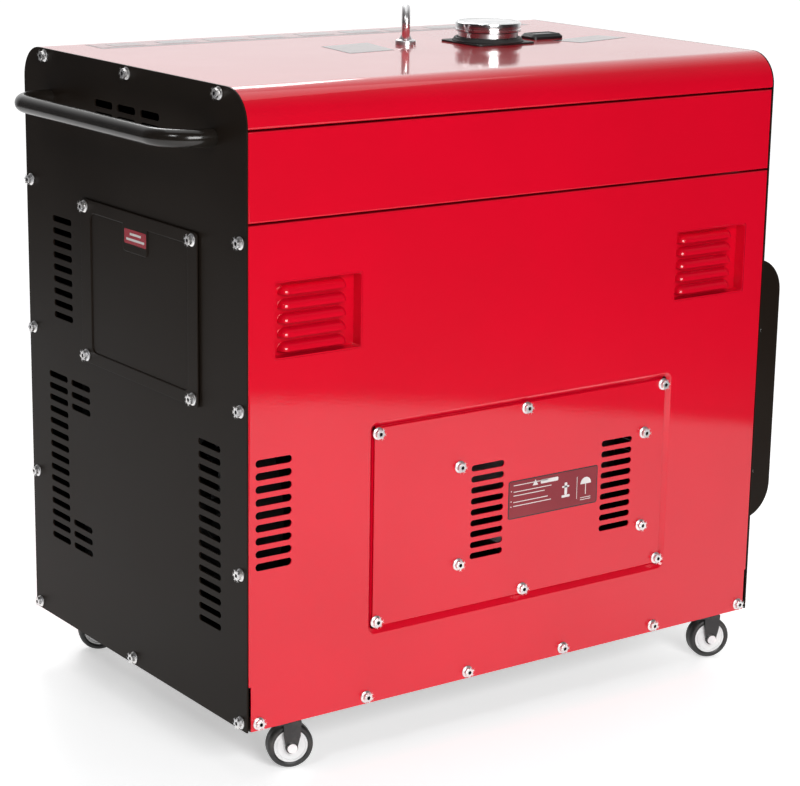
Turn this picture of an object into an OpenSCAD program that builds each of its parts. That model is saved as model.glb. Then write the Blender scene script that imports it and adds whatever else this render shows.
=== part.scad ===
// Enclosed portable diesel generator on four swivel casters.
// Origin: on the floor, under the middle of the cabinet. +X runs along the cabinet to the
// exhaust end, +Z is up, -Y is the side with the bolted access cover. Millimetres.

/* [Cabinet] */
// Length over both end panels
body_l = 740; // [720:10:900]
// Width over both side panels
body_w = 496; // [470:2:600]
// Height from the cabinet's lower edge to the roof
body_h = 698; // [690:2:840]
// Space between the floor and the cabinet's lower edge
ground_gap = 61; // [61:1:75]
// Thickness of the painted side and roof sheet
sheet = 1.5; // [1:0.1:2]
// Thickness of each end panel
end_t = 2; // [1.5:0.1:3]
// Radius of the roof's long edges
roof_r = 38; // [30:1:41]
// Height of the roof's skirt, down to the first seam
skirt_h = 42; // [42:1:50]
// Height of the band between the two seams
band_h = 97; // [80:1:120]
// Open gap along each seam
seam_gap = 2; // [1:0.5:3]
// Width of the flange turned inwards along a sheet's edge
flange_w = 14; // [12:1:18]
// Height of the tray's floor above the cabinet's lower edge
tray_rise = 3; // [3:0.5:4]
// Thickness of the tray
tray_t = 3; // [2:0.5:3]

/* [Fasteners] */
// Diameter of the flange bolts' thread
bolt_d = 6; // [5:1:8]
// Diameter of a flange bolt's washer face
bolt_flange_d = 14.2; // [12:0.1:17]
// Width across the flats of a bolt's hexagon
bolt_hex = 10; // [8:0.5:13]
// Height of a bolt's head with its flange
bolt_head_h = 5.5; // [4:0.5:7]
// Length of a bolt under its head
bolt_len = 10; // [8:1:16]
// Distance of the edge bolts from the cabinet's bottom and roof edges
bolt_edge = 8.5; // [8:0.5:10]
// Distance of an end panel's side bolts from the cabinet's side
bolt_side = 12; // [11:1:14]
// Distance of the first and last side bolts from the cabinet's ends
bolt_end = 15; // [14:1:30]

/* [End panel details] */
// Width of a vent slot
slot_w = 46.5; // [36:0.5:50]
// Height of a vent slot
slot_h = 7.5; // [5:0.5:8]
// Distance between two vent slots
slot_pitch = 14.45; // [12:0.05:18]
// Width of the filter cover
filter_cover_w = 261.5; // [240:0.5:280]
// Height of the filter cover
filter_cover_h = 192; // [170:1:210]
// Depth of the filter cover's pressed edge
filter_cover_t = 3; // [2:0.5:5]
// Height of the filter cover's centre above the cabinet's lower edge
filter_cover_z = 440; // [420:1:460]
// Sideways place of the filter cover's centre
filter_cover_y = -22.5; // [-40:0.5:0]
// Width of the exhaust hood
hood_w = 436; // [380:2:440]
// Height of the exhaust hood
hood_h = 334; // [300:2:360]
// How far the exhaust hood stands out
hood_out = 59; // [50:1:62]
// Radius of the exhaust hood's outer corners
hood_r = 43; // [20:1:48]
// Height of the exhaust hood's lower edge above the cabinet's
hood_z = 107; // [90:1:120]

/* [Carry handles] */
// Diameter of the handle's tube
handle_d = 20; // [18:1:25]
// Distance between the centres of a handle's two legs
handle_w = 364; // [300:2:380]
// Distance of the handle's bar from the end panel
handle_out = 63; // [55:1:75]
// Bend radius of the handle's tube
handle_bend = 42; // [30:1:50]
// Height of the handle above the cabinet's lower edge
handle_z = 642; // [620:1:650]

/* [Side details] */
// Width of each recessed louvre
louvre_w = 112.6; // [100:0.2:130]
// Height of each recessed louvre
louvre_h = 84.3; // [80:0.1:95]
// Depth of each louvre recess
louvre_d = 16; // [12:1:20]
// Distance of the louvres from the middle of the side
louvre_x = 280; // [220:1:290]
// Height of the louvres' centre above the cabinet's lower edge
louvre_z = 454.5; // [420:0.5:470]
// Width of the stamped frame around the access cover
access_w = 439; // [420:1:460]
// Height of the stamped frame around the access cover
access_h = 246; // [235:1:260]
// Place of the access cover's centre along the side
access_x = 7.8; // [0:0.1:20]
// Height of the access cover's centre above the cabinet's lower edge
access_z = 203.5; // [180:0.5:220]
// Depth of the stamped frame
access_d = 5; // [3:0.5:8]
// Width of the stamped frame's ledge under the access cover
access_ledge = 22; // [20:1:30]
// Gap between the access cover and the outer edge of the stamped frame
access_gap = 8; // [6:0.5:9]

/* [Service side] */
// Width of the service door
door_w = 240; // [200:2:260]
// Height of the service door
door_h = 300; // [260:2:320]
// Gap around the service door
door_gap = 2; // [1.5:0.5:3]
// Place of the door's centre along the side
door_x = -170; // [-180:1:-150]
// Height of the door's centre above the cabinet's lower edge
door_z = 215; // [200:1:230]
// Radius of the hinge's knuckles
knuckle_r = 5; // [4:0.5:5.5]
// Radius of the hinge's pin
hinge_pin_r = 2.5; // [2:0.25:3]
// Width of the control panel's recess
ctrl_w = 240; // [220:2:260]
// Height of the control panel's recess
ctrl_h = 190; // [180:2:210]
// Depth of the control panel's recess
ctrl_d = 42; // [40:1:50]
// Place of the control panel's centre along the side
ctrl_x = 175; // [160:1:190]
// Height of the control panel's centre above the cabinet's lower edge
ctrl_z = 425; // [400:1:440]

/* [Filler and lifting eye] */
// Place of the filler along the roof
filler_x = 137; // [130:1:145]
// Sideways place of the filler
filler_y = 11; // [0:1:20]
// Radius of the fuel cap
cap_r = 40; // [38:0.5:44]
// Height of the fuel cap
cap_h = 12.5; // [10:0.5:16]
// Inner radius of the filler neck
neck_r = 27; // [20:0.5:28]
// Wall of the filler neck
neck_wall = 3; // [2:0.5:4]
// Height of the neck's open rim above the roof
neck_top = 20; // [18:0.5:22]
// Thickness of the cap above its seal
cap_roof = 3.2; // [3:0.1:4]
// Thickness of the cap's seal
seal_t = 3; // [2:0.5:4]
// Place of the lifting eye along the roof
eye_x = 33; // [20:1:45]
// Sideways place of the lifting eye
eye_y = 38; // [0:1:60]
// Inner radius of the lifting eye
eye_r = 12.5; // [10:0.5:16]
// Thickness of the lifting eye's ring
eye_bar = 10; // [8:0.5:12]
// Radius of the lifting eye's collar
collar_r = 12.5; // [10:0.5:15]

/* [Casters] */
// Radius of a caster wheel
wheel_r = 26; // [24:0.5:28]
// Width of a caster wheel
wheel_w = 20; // [18:0.5:24]
// Radius of a caster's rim
rim_r = 19.5; // [17:0.5:21]
// Radius of a caster's axle
axle_r = 4; // [3:0.25:5]
// Distance from the swivel's axis to the wheel's axle
caster_trail = 14; // [10:0.5:16]
// Distance of a swivel's axis from the cabinet's end
caster_end = 56; // [50:1:90]
// Distance of a swivel's axis from the cabinet's side
caster_side = 27; // [26:1:50]
// Turn of the casters as they stand
caster_turn = -20; // [-40:1:40]

/* [Engine and alternator] */
// Height of the crankshaft above the tray's floor
crank_z = 187; // [180:1:200]
// Radius of the crankshaft's main journals
crank_r = 20; // [16:0.5:24]
// Length of the crankcase
block_l = 190; // [180:2:210]
// Width of the crankcase
block_w = 210; // [190:2:230]
// Place of the crankcase's alternator face
block_x = 5; // [0:1:10]
// Outer radius of the blower housing
blower_r = 130; // [120:1:135]
// Depth of the blower housing
blower_l = 62; // [55:1:70]
// Outer radius of the flywheel fan
fan_r = 115; // [90:1:120]
// Outer radius of the alternator
alt_r = 118; // [110:1:122]
// Length of the alternator
alt_l = 230; // [200:2:250]
// Radius of the alternator's rotor
rotor_r = 72; // [60:1:80]
// Wall of the alternator's housing
alt_wall = 6; // [4:0.5:8]
// Radius of the muffler
muffler_r = 55; // [45:1:60]
// Length of the muffler
muffler_l = 220; // [180:2:230]
// Outer radius of the tail pipe
pipe_r = 17; // [14:0.5:20]
// Radius of the air filter's canister
filter_r = 68; // [60:1:75]
// Radius of a rubber mount
mount_r = 18; // [15:1:22]
// Height of a rubber mount
mount_h = 26; // [20:1:30]

/* [Hidden] */
$fn = 64;
running = 0.05;          // radial clearance of every shaft and pin in its bore
zb = ground_gap;
top_z = zb + body_h;
half_l = body_l / 2;
half_w = body_w / 2;
in_l = half_l - end_t;   // end panels' inner faces
in_w = half_w - sheet;   // side sheets' inner faces
seam1 = top_z - skirt_h;
seam2 = seam1 - band_h;
floor_z = zb + tray_rise;
hole_r = bolt_d / 2 + 0.3;
side_bolt_n = 6;
corner_cut = 3.5;        // how far a side sheet's lowest corners are cut back from the end panels
side_bolt_pitch = (body_l - 2 * bolt_end) / (side_bolt_n - 1);
end_bolt_z = [bolt_edge, 178, 359, body_h - skirt_h - band_h - 20];
roof_bolt_y = half_w - roof_r - 15.5;
caster_x = half_l - caster_end;
caster_y = half_w - caster_side;
corners = [[-1, -1, "near_left"], [1, -1, "near_right"], [-1, 1, "far_left"], [1, 1, "far_right"]];
cx = crank_z + floor_z;  // height of the crankshaft's axis
block_x0 = block_x - block_l;
blower_x0 = block_x0 - blower_l;
alt_x0 = block_x + 20;
alt_x1 = alt_x0 + alt_l;
shaft_r = 14;
rotor_l = alt_l - 80;
head_x = block_x - block_l / 2;
head_z = cx + 210;
intake_z = head_z + 32;
filter_l = 70;
filter_x1 = -in_l + 22 + filter_l;
rail_y = in_w - flange_w - 8;
rail_w = 22;
tank_h = 96;
tank_z = top_z - 26 - tank_h;
tank_x0 = eye_x + 24;
tank_x1 = 335;
tank_w = 2 * (rail_y - 2);
rail_z = tank_z - 3;
muffler_z = cx + alt_r + 66;
muffler_x0 = alt_x0 + 20;
muffler_y = -45;
spigot_x = half_l + hood_out + 1;
spigot_l = 12;
neck_z = top_z + neck_top;
cap_z = neck_z + seal_t;
gauge_x = 227;
gauge_y = 18;
door_x0 = door_x - door_w / 2;
hinge_x = door_x0 - door_gap / 2;
latch_x = door_x + door_w / 2 - 22;
latch_r = 5;
ctrl_y = half_w - ctrl_d;
outlet_d = 20;
outlet_x = [ctrl_x + 15, ctrl_x + 75];
outlet_z = zb + ctrl_z - 30;
lid_pin_z = outlet_z + 28;
lid_pin_y = ctrl_y + sheet + outlet_d + 3;
breaker_x = ctrl_x - 80;
breaker_z = zb + ctrl_z - 30;
toggle_y = ctrl_y + sheet + 16;
key_x = ctrl_x - 35;
key_z = zb + ctrl_z - 30;
key_y = ctrl_y + sheet + 11;

// ---- shared shapes ----

// A rectangle with true round corners, centred.
module round_rect(w, h, r) {
  square([w - 2 * r, h], center = true);
  square([w, h - 2 * r], center = true);
  for (x = [-1, 1], y = [-1, 1]) translate([x * (w / 2 - r), y * (h / 2 - r)]) circle(r);
}

// One vent slot with round ends.
module slot2d(w, h) {
  square([w - h, h], center = true);
  for (x = [-1, 1]) translate([x * (w - h) / 2, 0]) circle(h / 2);
}

// A column of n slots, from its top slot down.
module slot_column(n, w = slot_w, h = slot_h, pitch = slot_pitch) {
  for (i = [0:n - 1]) translate([0, -i * pitch]) slot2d(w, h);
}

// Turns a flat outline (x, y) into a plate that faces +X: x becomes Y and y becomes Z.
module facing_x(x, t) { translate([x, 0, 0]) rotate([90, 0, 90]) linear_extrude(t) children(); }

// Turns a flat outline (x, y) into a plate from y0 to y0 + t: x stays X and y becomes Z.
module facing_y(y0, t) { translate([0, y0 + t, 0]) rotate([90, 0, 0]) linear_extrude(t) children(); }

// A box from its low corner to its high corner.
module span(a, b) { translate(a) cube(b - a); }

// Cross-section of the cabinet, inset by d; heights start at the cabinet's lower edge.
module body_section(d = 0, low = 0) {
  r = roof_r - d;
  h = body_h - d;
  translate([-half_w + d, low]) square([body_w - 2 * d, h - r - low]);
  translate([-half_w + roof_r, low]) square([body_w - 2 * roof_r, h - low]);
  for (s = [-1, 1]) translate([s * (half_w - roof_r), body_h - roof_r]) intersection() {
    circle(r);
    translate([-r, 0]) square([2 * r, r]);
  }
}

// A hex flange bolt whose head points along +Z, with its washer face at z = 0.
module flange_bolt(l = bolt_len) {
  cylinder(h = 1.6, d = bolt_flange_d);
  cylinder(h = bolt_head_h, d = bolt_hex / cos(30), $fn = 6);
  translate([0, 0, -l]) cylinder(h = l + 0.5, d = bolt_d);
}

// A round hole along +Z, through a plate at z = 0.
module bolt_hole(r = hole_r) { translate([0, 0, -20]) cylinder(h = 40, r = r); }
module square_hole(half) { translate([0, 0, -20]) linear_extrude(40) square(2 * half, center = true); }

module at_end_bolts(s) {
  for (y = [-1, 1], z = end_bolt_z)
    translate([0, y * (half_w - bolt_side), zb + z]) end_turn(s) children();
  for (y = [-1, 0, 1]) translate([0, y * roof_bolt_y, top_z - bolt_edge]) end_turn(s) children();
  translate([0, 0, zb + bolt_edge]) end_turn(s) children();
}

// Stands its children on an end panel's face, looking out.
module end_turn(s) { translate([s * half_l, 0, 0]) rotate([0, s * 90, 0]) children(); }

// Stands its children on a side panel's face, looking out.
module side_turn(s) { translate([0, s * half_w, 0]) rotate([-s * 90, 0, 0]) children(); }

module at_side_bolts(s) {
  for (i = [0:side_bolt_n - 1])
    translate([-half_l + bolt_end + i * side_bolt_pitch, 0, zb + bolt_edge]) side_turn(s) children();
}

module at_filter_bolts() {
  for (y = [-1, 1], z = [-1, 1])
    translate([0, filter_cover_y + y * (filter_cover_w / 2 - 10.5),
               zb + filter_cover_z + z * (filter_cover_h / 2 - 8.5)])
      end_turn(-1) translate([0, 0, filter_cover_t]) children();
}

module at_hood_bolts() {
  for (y = [-1, 0, 1], z = [-8, hood_h + 8])
    translate([0, y * (hood_w / 2 - 40), zb + hood_z + z]) end_turn(1) translate([0, 0, sheet]) children();
}

module at_access_bolts() {
  for (x = [-1, 0, 1], z = [-1, 1])
    translate([access_x + x * (access_w / 2 - 12), 0, zb + access_z + z * (access_h / 2 - 14)])
      side_turn(-1) translate([0, 0, 2 * sheet - access_d]) children();
}

// The four bolts inside the access cover, which hold the air duct behind it.
module at_duct_bolts() {
  for (x = [-94.2, 180.2], z = [-62.4, 53.2])
    translate([access_x + x, 0, zb + access_z + z]) side_turn(-1)
      translate([0, 0, 2 * sheet - access_d]) children();
}

// ---- cabinet ----

module base_tray() color([0.13, 0.12, 0.12]) difference() {
  union() {
    span([-in_l, -in_w, floor_z - tray_t], [in_l, in_w, floor_z]);
    for (s = [-1, 1]) {
      span([-in_l, s > 0 ? in_w - 2 : -in_w, zb], [in_l, s > 0 ? in_w : 2 - in_w, floor_z + 14]);
      span([s > 0 ? in_l - 2 : -in_l, -in_w + flange_w + 12, zb],
           [s > 0 ? in_l : 2 - in_l, in_w - flange_w - 12, floor_z + 14]);
    }
  }
  for (s = [-1, 1]) {
    // each corner is cut away behind the side sheets' end flanges
    for (y = [-1, 1])
      span([s > 0 ? in_l - 3 : -in_l - 1, y > 0 ? in_w - flange_w - 10 : -half_w, zb - 1],
           [s > 0 ? in_l + 1 : 3 - in_l, y > 0 ? half_w : -in_w + flange_w + 10, floor_z + 20]);
    at_side_bolts(s) bolt_hole();
    translate([0, 0, zb + bolt_edge]) end_turn(s) bolt_hole();
  }
  for (x = [-1, 1], y = [-1, 1]) translate([x * caster_x, y * caster_y, floor_z]) bolt_hole(6.3);
}

module end_panel_blank(s) {
  facing_x(s > 0 ? in_l : -half_l, end_t) translate([0, zb]) body_section();
}

// The slot columns of the intake end: sideways place, height of the top slot, number of slots.
intake_vents = [[160, 500.8, 9], [176.7, 309.4, 15], [121.2, 309.2, 3], [121.2, 136.3, 3], [-171.8, 307, 15]];

module end_panel_left() color([0.14, 0.12, 0.11]) difference() {
  end_panel_blank(-1);
  facing_x(-half_l - 1, end_t + 2) {
    for (v = intake_vents) translate([v[0], zb + v[1]]) slot_column(v[2]);
    for (y = [54.6, 3, -49.4]) translate([y, zb + body_h - 49]) slot_column(3, 42, 8.5, 13.7);
    translate([filter_cover_y, zb + filter_cover_z]) round_rect(filter_cover_w - 45, filter_cover_h - 40, 6);
  }
  at_end_bolts(-1) bolt_hole();
  at_filter_bolts() bolt_hole();
  at_handle_legs(-1) bolt_hole(4.3);
}

module end_panel_right() color([0.14, 0.12, 0.11]) difference() {
  end_panel_blank(1);
  facing_x(in_l - 1, end_t + 2) {
    for (i = [-3:3]) translate([i * 54, zb + hood_z + hood_h - 40]) slot_column(i == -1 ? 6 : 18);
    for (y = [-1, 1]) translate([y * 176.7, zb + 560]) slot_column(6);
    translate([muffler_y, muffler_z]) circle(pipe_r + 4);
  }
  at_end_bolts(1) bolt_hole();
  at_hood_bolts() bolt_hole();
  at_handle_legs(1) bolt_hole(4.3);
}

// A side's sheet between two heights, with flanges turned in at its ends and along the edges
// asked for.
module side_sheet(s, z0, z1, low, high) {
  outer = s * half_w;
  inner = s * in_w;
  y0 = min(outer, inner);
  deep = s * (in_w - flange_w);
  span([-in_l, y0, z0], [in_l, y0 + sheet, z1]);
  for (e = [-1, 1])
    span([e > 0 ? in_l - sheet : -in_l, min(inner, s * (in_w - 24)), z0],
         [e > 0 ? in_l : sheet - in_l, max(inner, s * (in_w - 24)), z1]);
  if (low) span([-in_l, min(inner, deep), z0], [in_l, max(inner, deep), z0 + sheet]);
  if (high) span([-in_l, min(inner, deep), z1 - sheet], [in_l, max(inner, deep), z1]);
}

module side_panel_blank(s) {
  difference() {
    side_sheet(s, zb, seam2 - seam_gap / 2, false, true);
    // the lowest corners are cut back
    for (e = [-1, 1]) span([e > 0 ? in_l - corner_cut : -in_l - 1, min(s * half_w, s * (in_w - 30)), zb - 1],
                           [e > 0 ? in_l + 1 : corner_cut - in_l, max(s * half_w, s * (in_w - 30)), zb + 52]);
    at_side_bolts(s) bolt_hole();
    for (e = [-1, 1]) at_end_bolts(e) bolt_hole();
  }
}

module side_panel_front() color([0.80, 0.02, 0.08]) {
  difference() {
    side_panel_blank(-1);
    facing_y(-half_w - 1, sheet + 2) {
      for (x = [-1, 1]) translate([x * louvre_x, zb + louvre_z]) round_rect(louvre_w, louvre_h, 3);
      translate([-half_l + 34, zb + 302.3]) slot_column(9, 46, slot_h + 1, 14.4);
      translate([access_x, zb + access_z]) round_rect(access_w, access_h, 10);
    }
  }
  // the stamped frame that the access cover lies in
  difference() {
    facing_y(-half_w, access_d) translate([access_x, zb + access_z]) difference() {
      round_rect(access_w + 2 * sheet, access_h + 2 * sheet, 10 + sheet);
      round_rect(access_w - 2 * access_ledge, access_h - 2 * access_ledge - 4, 8);
    }
    facing_y(-half_w - 1, access_d + 1 - sheet) translate([access_x, zb + access_z])
      round_rect(access_w, access_h, 10);
    at_access_bolts() bolt_hole();
  }
}

module side_panel_back() color([0.80, 0.02, 0.08]) {
  difference() {
    side_panel_blank(1);
    facing_y(in_w - 1, sheet + 2) {
      translate([door_x, zb + door_z]) square([door_w + 2 * door_gap, door_h + 2 * door_gap], center = true);
      translate([ctrl_x, zb + ctrl_z]) square([ctrl_w, ctrl_h], center = true);
      translate([half_l - 34, zb + 302.3]) slot_column(9, 46, slot_h + 1, 14.4);
      for (x = [60, 120, 180]) translate([x + 30, zb + 220]) slot_column(9, 46, slot_h + 1, 14.4);
    }
    for (z = [-1, 1]) hinge_swing(z) cylinder(h = 52, r = knuckle_r + 0.6, center = true);
    at_earth() bolt_hole();
  }
  // the fixed halves of the two hinges, each with its pin
  for (z = [-1, 1]) hinge_swing(z) {
    translate([0, 0, -24]) cylinder(h = 24 - 0.5, r = knuckle_r);
    translate([0, 0, -24]) cylinder(h = 46, r = hinge_pin_r);
    translate([-knuckle_r - 8, -sheet, -24]) cube([knuckle_r + 8, sheet, 23.5]);
  }
}

// The centre of the upper or lower hinge.
module hinge_swing(z) { translate([hinge_x, half_w, zb + door_z + z * (door_h / 2 - 50)]) children(); }

module upper_band(s) {
  difference() {
    side_sheet(s, seam2 + seam_gap / 2, seam1 - seam_gap / 2, true, true);
    for (e = [-1, 1]) at_handle_legs(e) bolt_hole(4.3);
  }
}
module upper_band_front() color([0.80, 0.02, 0.08]) upper_band(-1);
module upper_band_back() color([0.80, 0.02, 0.08]) upper_band(1);

module lid() color([0.84, 0.03, 0.09]) difference() {
  union() {
    facing_x(-in_l, 2 * in_l) translate([0, zb]) difference() {
      body_section(0, body_h - skirt_h + seam_gap / 2);
      body_section(sheet, body_h - skirt_h + seam_gap / 2 - 1);
    }
    for (s = [-1, 1]) facing_x(s > 0 ? in_l - sheet : -in_l, sheet) translate([0, zb]) difference() {
      body_section(0, body_h - skirt_h + seam_gap / 2);
      body_section(18, body_h - skirt_h + seam_gap / 2 - 1);
    }
    for (s = [-1, 1])
      span([-in_l, s > 0 ? in_w - flange_w : -in_w, seam1 + seam_gap / 2],
           [in_l, s > 0 ? in_w : flange_w - in_w, seam1 + seam_gap / 2 + sheet]);
  }
  translate([filler_x, filler_y, top_z]) square_hole(neck_r + neck_wall + 2);
  translate([eye_x, eye_y, top_z]) bolt_hole(6);
  translate([gauge_x, gauge_y, top_z]) bolt_hole(11);
  for (e = [-1, 1]) at_end_bolts(e) bolt_hole();
}

// One recess: a shallow box with pressed louvres across its floor.
module louvre_box() {
  slat_w = 86;
  slat_pitch = 15.4;
  difference() {
    facing_y(-half_w + 0.2, louvre_d) round_rect(louvre_w - 0.4, louvre_h - 0.4, 3);
    facing_y(-half_w - 1, louvre_d + 1.2 - sheet) round_rect(louvre_w - 3.4, louvre_h - 3.4, 2);
    for (i = [-2:2]) translate([0, 0, i * slat_pitch - 3.4])
      span([-slat_w / 2 + 6, -half_w + louvre_d - 4, -2], [slat_w / 2 - 6, -half_w + louvre_d + 4, 2]);
  }
  // each louvre is a shell with round ends, open along its lower edge
  for (i = [-2:2]) translate([0, -half_w + louvre_d + 0.2 - sheet, i * slat_pitch - 5.4]) difference() {
    intersection() {
      louvre_bulge(slat_w, 9.5);
      span([-slat_w, -12, 0], [slat_w, sheet / 2, 12]);
    }
    translate([0, 0, -1.2]) louvre_bulge(slat_w - 2.4, 9.5);
  }
}

module louvre_bulge(w, r) {
  rotate([0, 90, 0]) cylinder(h = w - 2 * r, r = r, center = true);
  for (s = [-1, 1]) translate([s * (w / 2 - r), 0, 0]) sphere(r);
}

module louvre_boxes() color([0.80, 0.02, 0.08])
  for (x = [-1, 1]) translate([x * louvre_x, 0, zb + louvre_z]) louvre_box();

module access_cover() color([0.80, 0.02, 0.08]) difference() {
  facing_y(-half_w + access_d - 2 * sheet, sheet) translate([access_x, zb + access_z])
    round_rect(access_w - 2 * access_gap, access_h - 2 * access_gap, 8);
  facing_y(-half_w - 1, 20) {
    for (x = [-53.7, 138.6]) translate([access_x + x, zb + access_z + 48]) slot_column(9, 47, slot_h, 13.05);
  }
  at_access_bolts() bolt_hole();
  at_duct_bolts() bolt_hole();
}

module filter_cover() color([0.14, 0.12, 0.11]) difference() {
  facing_x(-half_l - filter_cover_t, filter_cover_t) translate([filter_cover_y, zb + filter_cover_z])
    round_rect(filter_cover_w, filter_cover_h, 4);
  facing_x(-half_l - filter_cover_t + sheet, filter_cover_t) translate([filter_cover_y, zb + filter_cover_z])
    round_rect(filter_cover_w - 42, filter_cover_h - 30, 6);
  facing_x(-half_l - filter_cover_t - 1, filter_cover_t + 2)
    translate([-18, zb + filter_cover_z + filter_cover_h / 2 - 30.5]) round_rect(54, 28, 2);
  at_filter_bolts() bolt_hole();
}

module exhaust_hood() color([0.10, 0.09, 0.09]) difference() {
  union() {
    facing_y(-hood_w / 2, hood_w) hood_profile(0);
    facing_x(half_l, sheet) translate([0, zb + hood_z + hood_h / 2]) round_rect(hood_w, hood_h + 32, 6);
  }
  facing_y(-hood_w / 2 + sheet, hood_w - 2 * sheet) hood_profile(sheet);
  facing_x(half_l + hood_out - 10, 20) {
    for (y = [-110, -50, 50, 110]) translate([y, zb + hood_z + 150]) slot_column(6);
    translate([muffler_y, muffler_z]) circle(pipe_r + 3);
  }
  at_hood_bolts() bolt_hole();
}

// The hood's outline from the side, inset by d, with its two outer corners round.
module hood_profile(d) {
  r = hood_r - d;
  z0 = zb + hood_z;
  back = half_l - (d > 0 ? 1 : 0);
  front = half_l + hood_out;
  translate([back, z0 + d]) square([front - hood_r - back, hood_h - 2 * d]);
  translate([back, z0 + hood_r]) square([front - d - back, hood_h - 2 * hood_r]);
  for (z = [z0 + hood_r, z0 + hood_h - hood_r]) translate([front - hood_r, z]) intersection() {
    circle(r);
    translate([0, -r]) square([r, 2 * r]);
  }
}

module at_handle_legs(s) {
  for (y = [-1, 1]) translate([0, y * handle_w / 2, zb + handle_z]) end_turn(s) children();
}

// A bent tube, with a foot disc and a stud at each leg.
module carry_handle(s) {
  straight = handle_out - handle_bend;
  at_handle_legs(s) {
    cylinder(h = straight, d = handle_d);
    translate([0, 0, -12]) cylinder(h = 14, d = 8);
  }
  translate([s * (half_l + handle_out), 0, zb + handle_z]) rotate([90, 0, 0])
    cylinder(h = handle_w - 2 * handle_bend, d = handle_d, center = true);
  for (y = [-1, 1]) translate([s * (half_l + straight), y * (handle_w / 2 - handle_bend), zb + handle_z])
    rotate([0, 0, s > 0 ? (y > 0 ? 0 : -90) : (y > 0 ? 90 : 180)])
      rotate_extrude(angle = 90) translate([handle_bend, 0]) circle(d = handle_d);
}
module carry_handles() color([0.08, 0.07, 0.07]) for (s = [-1, 1]) carry_handle(s);

module eye_bolt() color([0.75, 0.75, 0.76]) {
  ring_z = top_z + 8 + eye_r + eye_bar / 2;
  translate([eye_x, eye_y, top_z]) {
    cylinder(h = 6, r = collar_r);
    translate([0, 0, 5]) cylinder(h = 8, r1 = collar_r - 3, r2 = 5);
    translate([0, 0, -40]) cylinder(h = 44, r = 5);
  }
  translate([eye_x, eye_y, ring_z]) rotate([90, 0, 55]) rotate_extrude()
    translate([eye_r + eye_bar / 2, 0]) circle(d = eye_bar);
}

// A hoop over the engine that carries the lifting eye, and two rails for the tank.
module lifting_frame() color([0.12, 0.12, 0.12]) difference() {
  union() {
    for (s = [-1, 1]) {
      span([eye_x - 15, s > 0 ? rail_y - 4 : -rail_y, floor_z],
           [eye_x + 15, s > 0 ? rail_y : 4 - rail_y, top_z - 24]);
      span([eye_x - 15, s > 0 ? rail_y - 34 : -rail_y, floor_z],
           [eye_x + 15, s > 0 ? rail_y : 34 - rail_y, floor_z + 4]);
      span([eye_x - 15, s > 0 ? rail_y - rail_w : -rail_y, rail_z],
           [in_l - sheet, s > 0 ? rail_y : rail_w - rail_y, rail_z + 3]);
    }
    span([eye_x - 15, -rail_y, top_z - 28], [eye_x + 15, rail_y, top_z - 24]);
    translate([eye_x, eye_y, top_z - 38]) cylinder(h = 14, r = 11);
  }
  translate([eye_x, eye_y, top_z - 30]) bolt_hole(5 + running);
}

module end_panel_bolts() color([0.75, 0.75, 0.76]) {
  for (s = [-1, 1]) at_end_bolts(s) flange_bolt();
  at_filter_bolts() flange_bolt();
  at_hood_bolts() flange_bolt();
}

module side_panel_bolts() color([0.75, 0.75, 0.76]) {
  for (s = [-1, 1]) at_side_bolts(s) flange_bolt();
  at_access_bolts() flange_bolt();
  at_duct_bolts() flange_bolt();
}

// ---- fuel system ----

module fuel_tank() color([0.15, 0.15, 0.16]) difference() {
  translate([(tank_x0 + tank_x1) / 2, 0, tank_z]) linear_extrude(tank_h)
    round_rect(tank_x1 - tank_x0, tank_w, 18);
  translate([(tank_x0 + tank_x1) / 2, 0, tank_z + 2]) linear_extrude(tank_h - 4)
    round_rect(tank_x1 - tank_x0 - 4, tank_w - 4, 16);
  translate([filler_x, filler_y, tank_z + tank_h]) square_hole(neck_r + neck_wall);
  translate([gauge_x, gauge_y, tank_z + tank_h]) bolt_hole(9);
}

module filler_neck() color([0.78, 0.78, 0.79]) translate([filler_x, filler_y, 0]) difference() {
  union() {
    translate([0, 0, tank_z + tank_h - 8]) cylinder(h = neck_z - tank_z - tank_h + 8, r = neck_r + neck_wall);
    translate([0, 0, tank_z + tank_h]) cylinder(h = 3, r = (neck_r + neck_wall) * sqrt(2) + 2);
    translate([0, 0, neck_z - 2]) cylinder(h = 2, r = neck_r + neck_wall + 2.5);
    translate([0, 0, top_z + 7.2]) cylinder(h = cap_z + cap_roof - cap_h - top_z - 7.8, r = cap_r - 3.5);
  }
  translate([0, 0, tank_z + tank_h - 20]) cylinder(h = neck_z - tank_z - tank_h + 40, r = neck_r);
}

module filler_gasket() color([0.05, 0.05, 0.05]) translate([filler_x, filler_y, top_z]) difference() {
  union() {
    linear_extrude(1.5) round_rect(72, 70, 5);
    cylinder(h = 7, r = cap_r + 1.5);
  }
  translate([0, 0, -1]) cylinder(h = 10, r = neck_r + neck_wall + 0.5);
}

module cap_seal() color([0.05, 0.05, 0.05]) translate([filler_x, filler_y, neck_z]) {
  cylinder(h = seal_t, r = neck_r + neck_wall + 1.5);
  translate([0, 0, -5]) cylinder(h = 6, r = neck_r - 2);
}

module fuel_cap() color([0.80, 0.80, 0.81]) translate([filler_x, filler_y, cap_z]) difference() {
  union() {
    translate([0, 0, cap_roof - cap_h]) cylinder(h = cap_h - 2.5, r = cap_r);
    translate([0, 0, cap_roof - 2.5]) cylinder(h = 2.5, r1 = cap_r, r2 = cap_r - 2.5);
  }
  translate([0, 0, -cap_h]) cylinder(h = cap_h, r = neck_r + neck_wall + 3);
}

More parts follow.
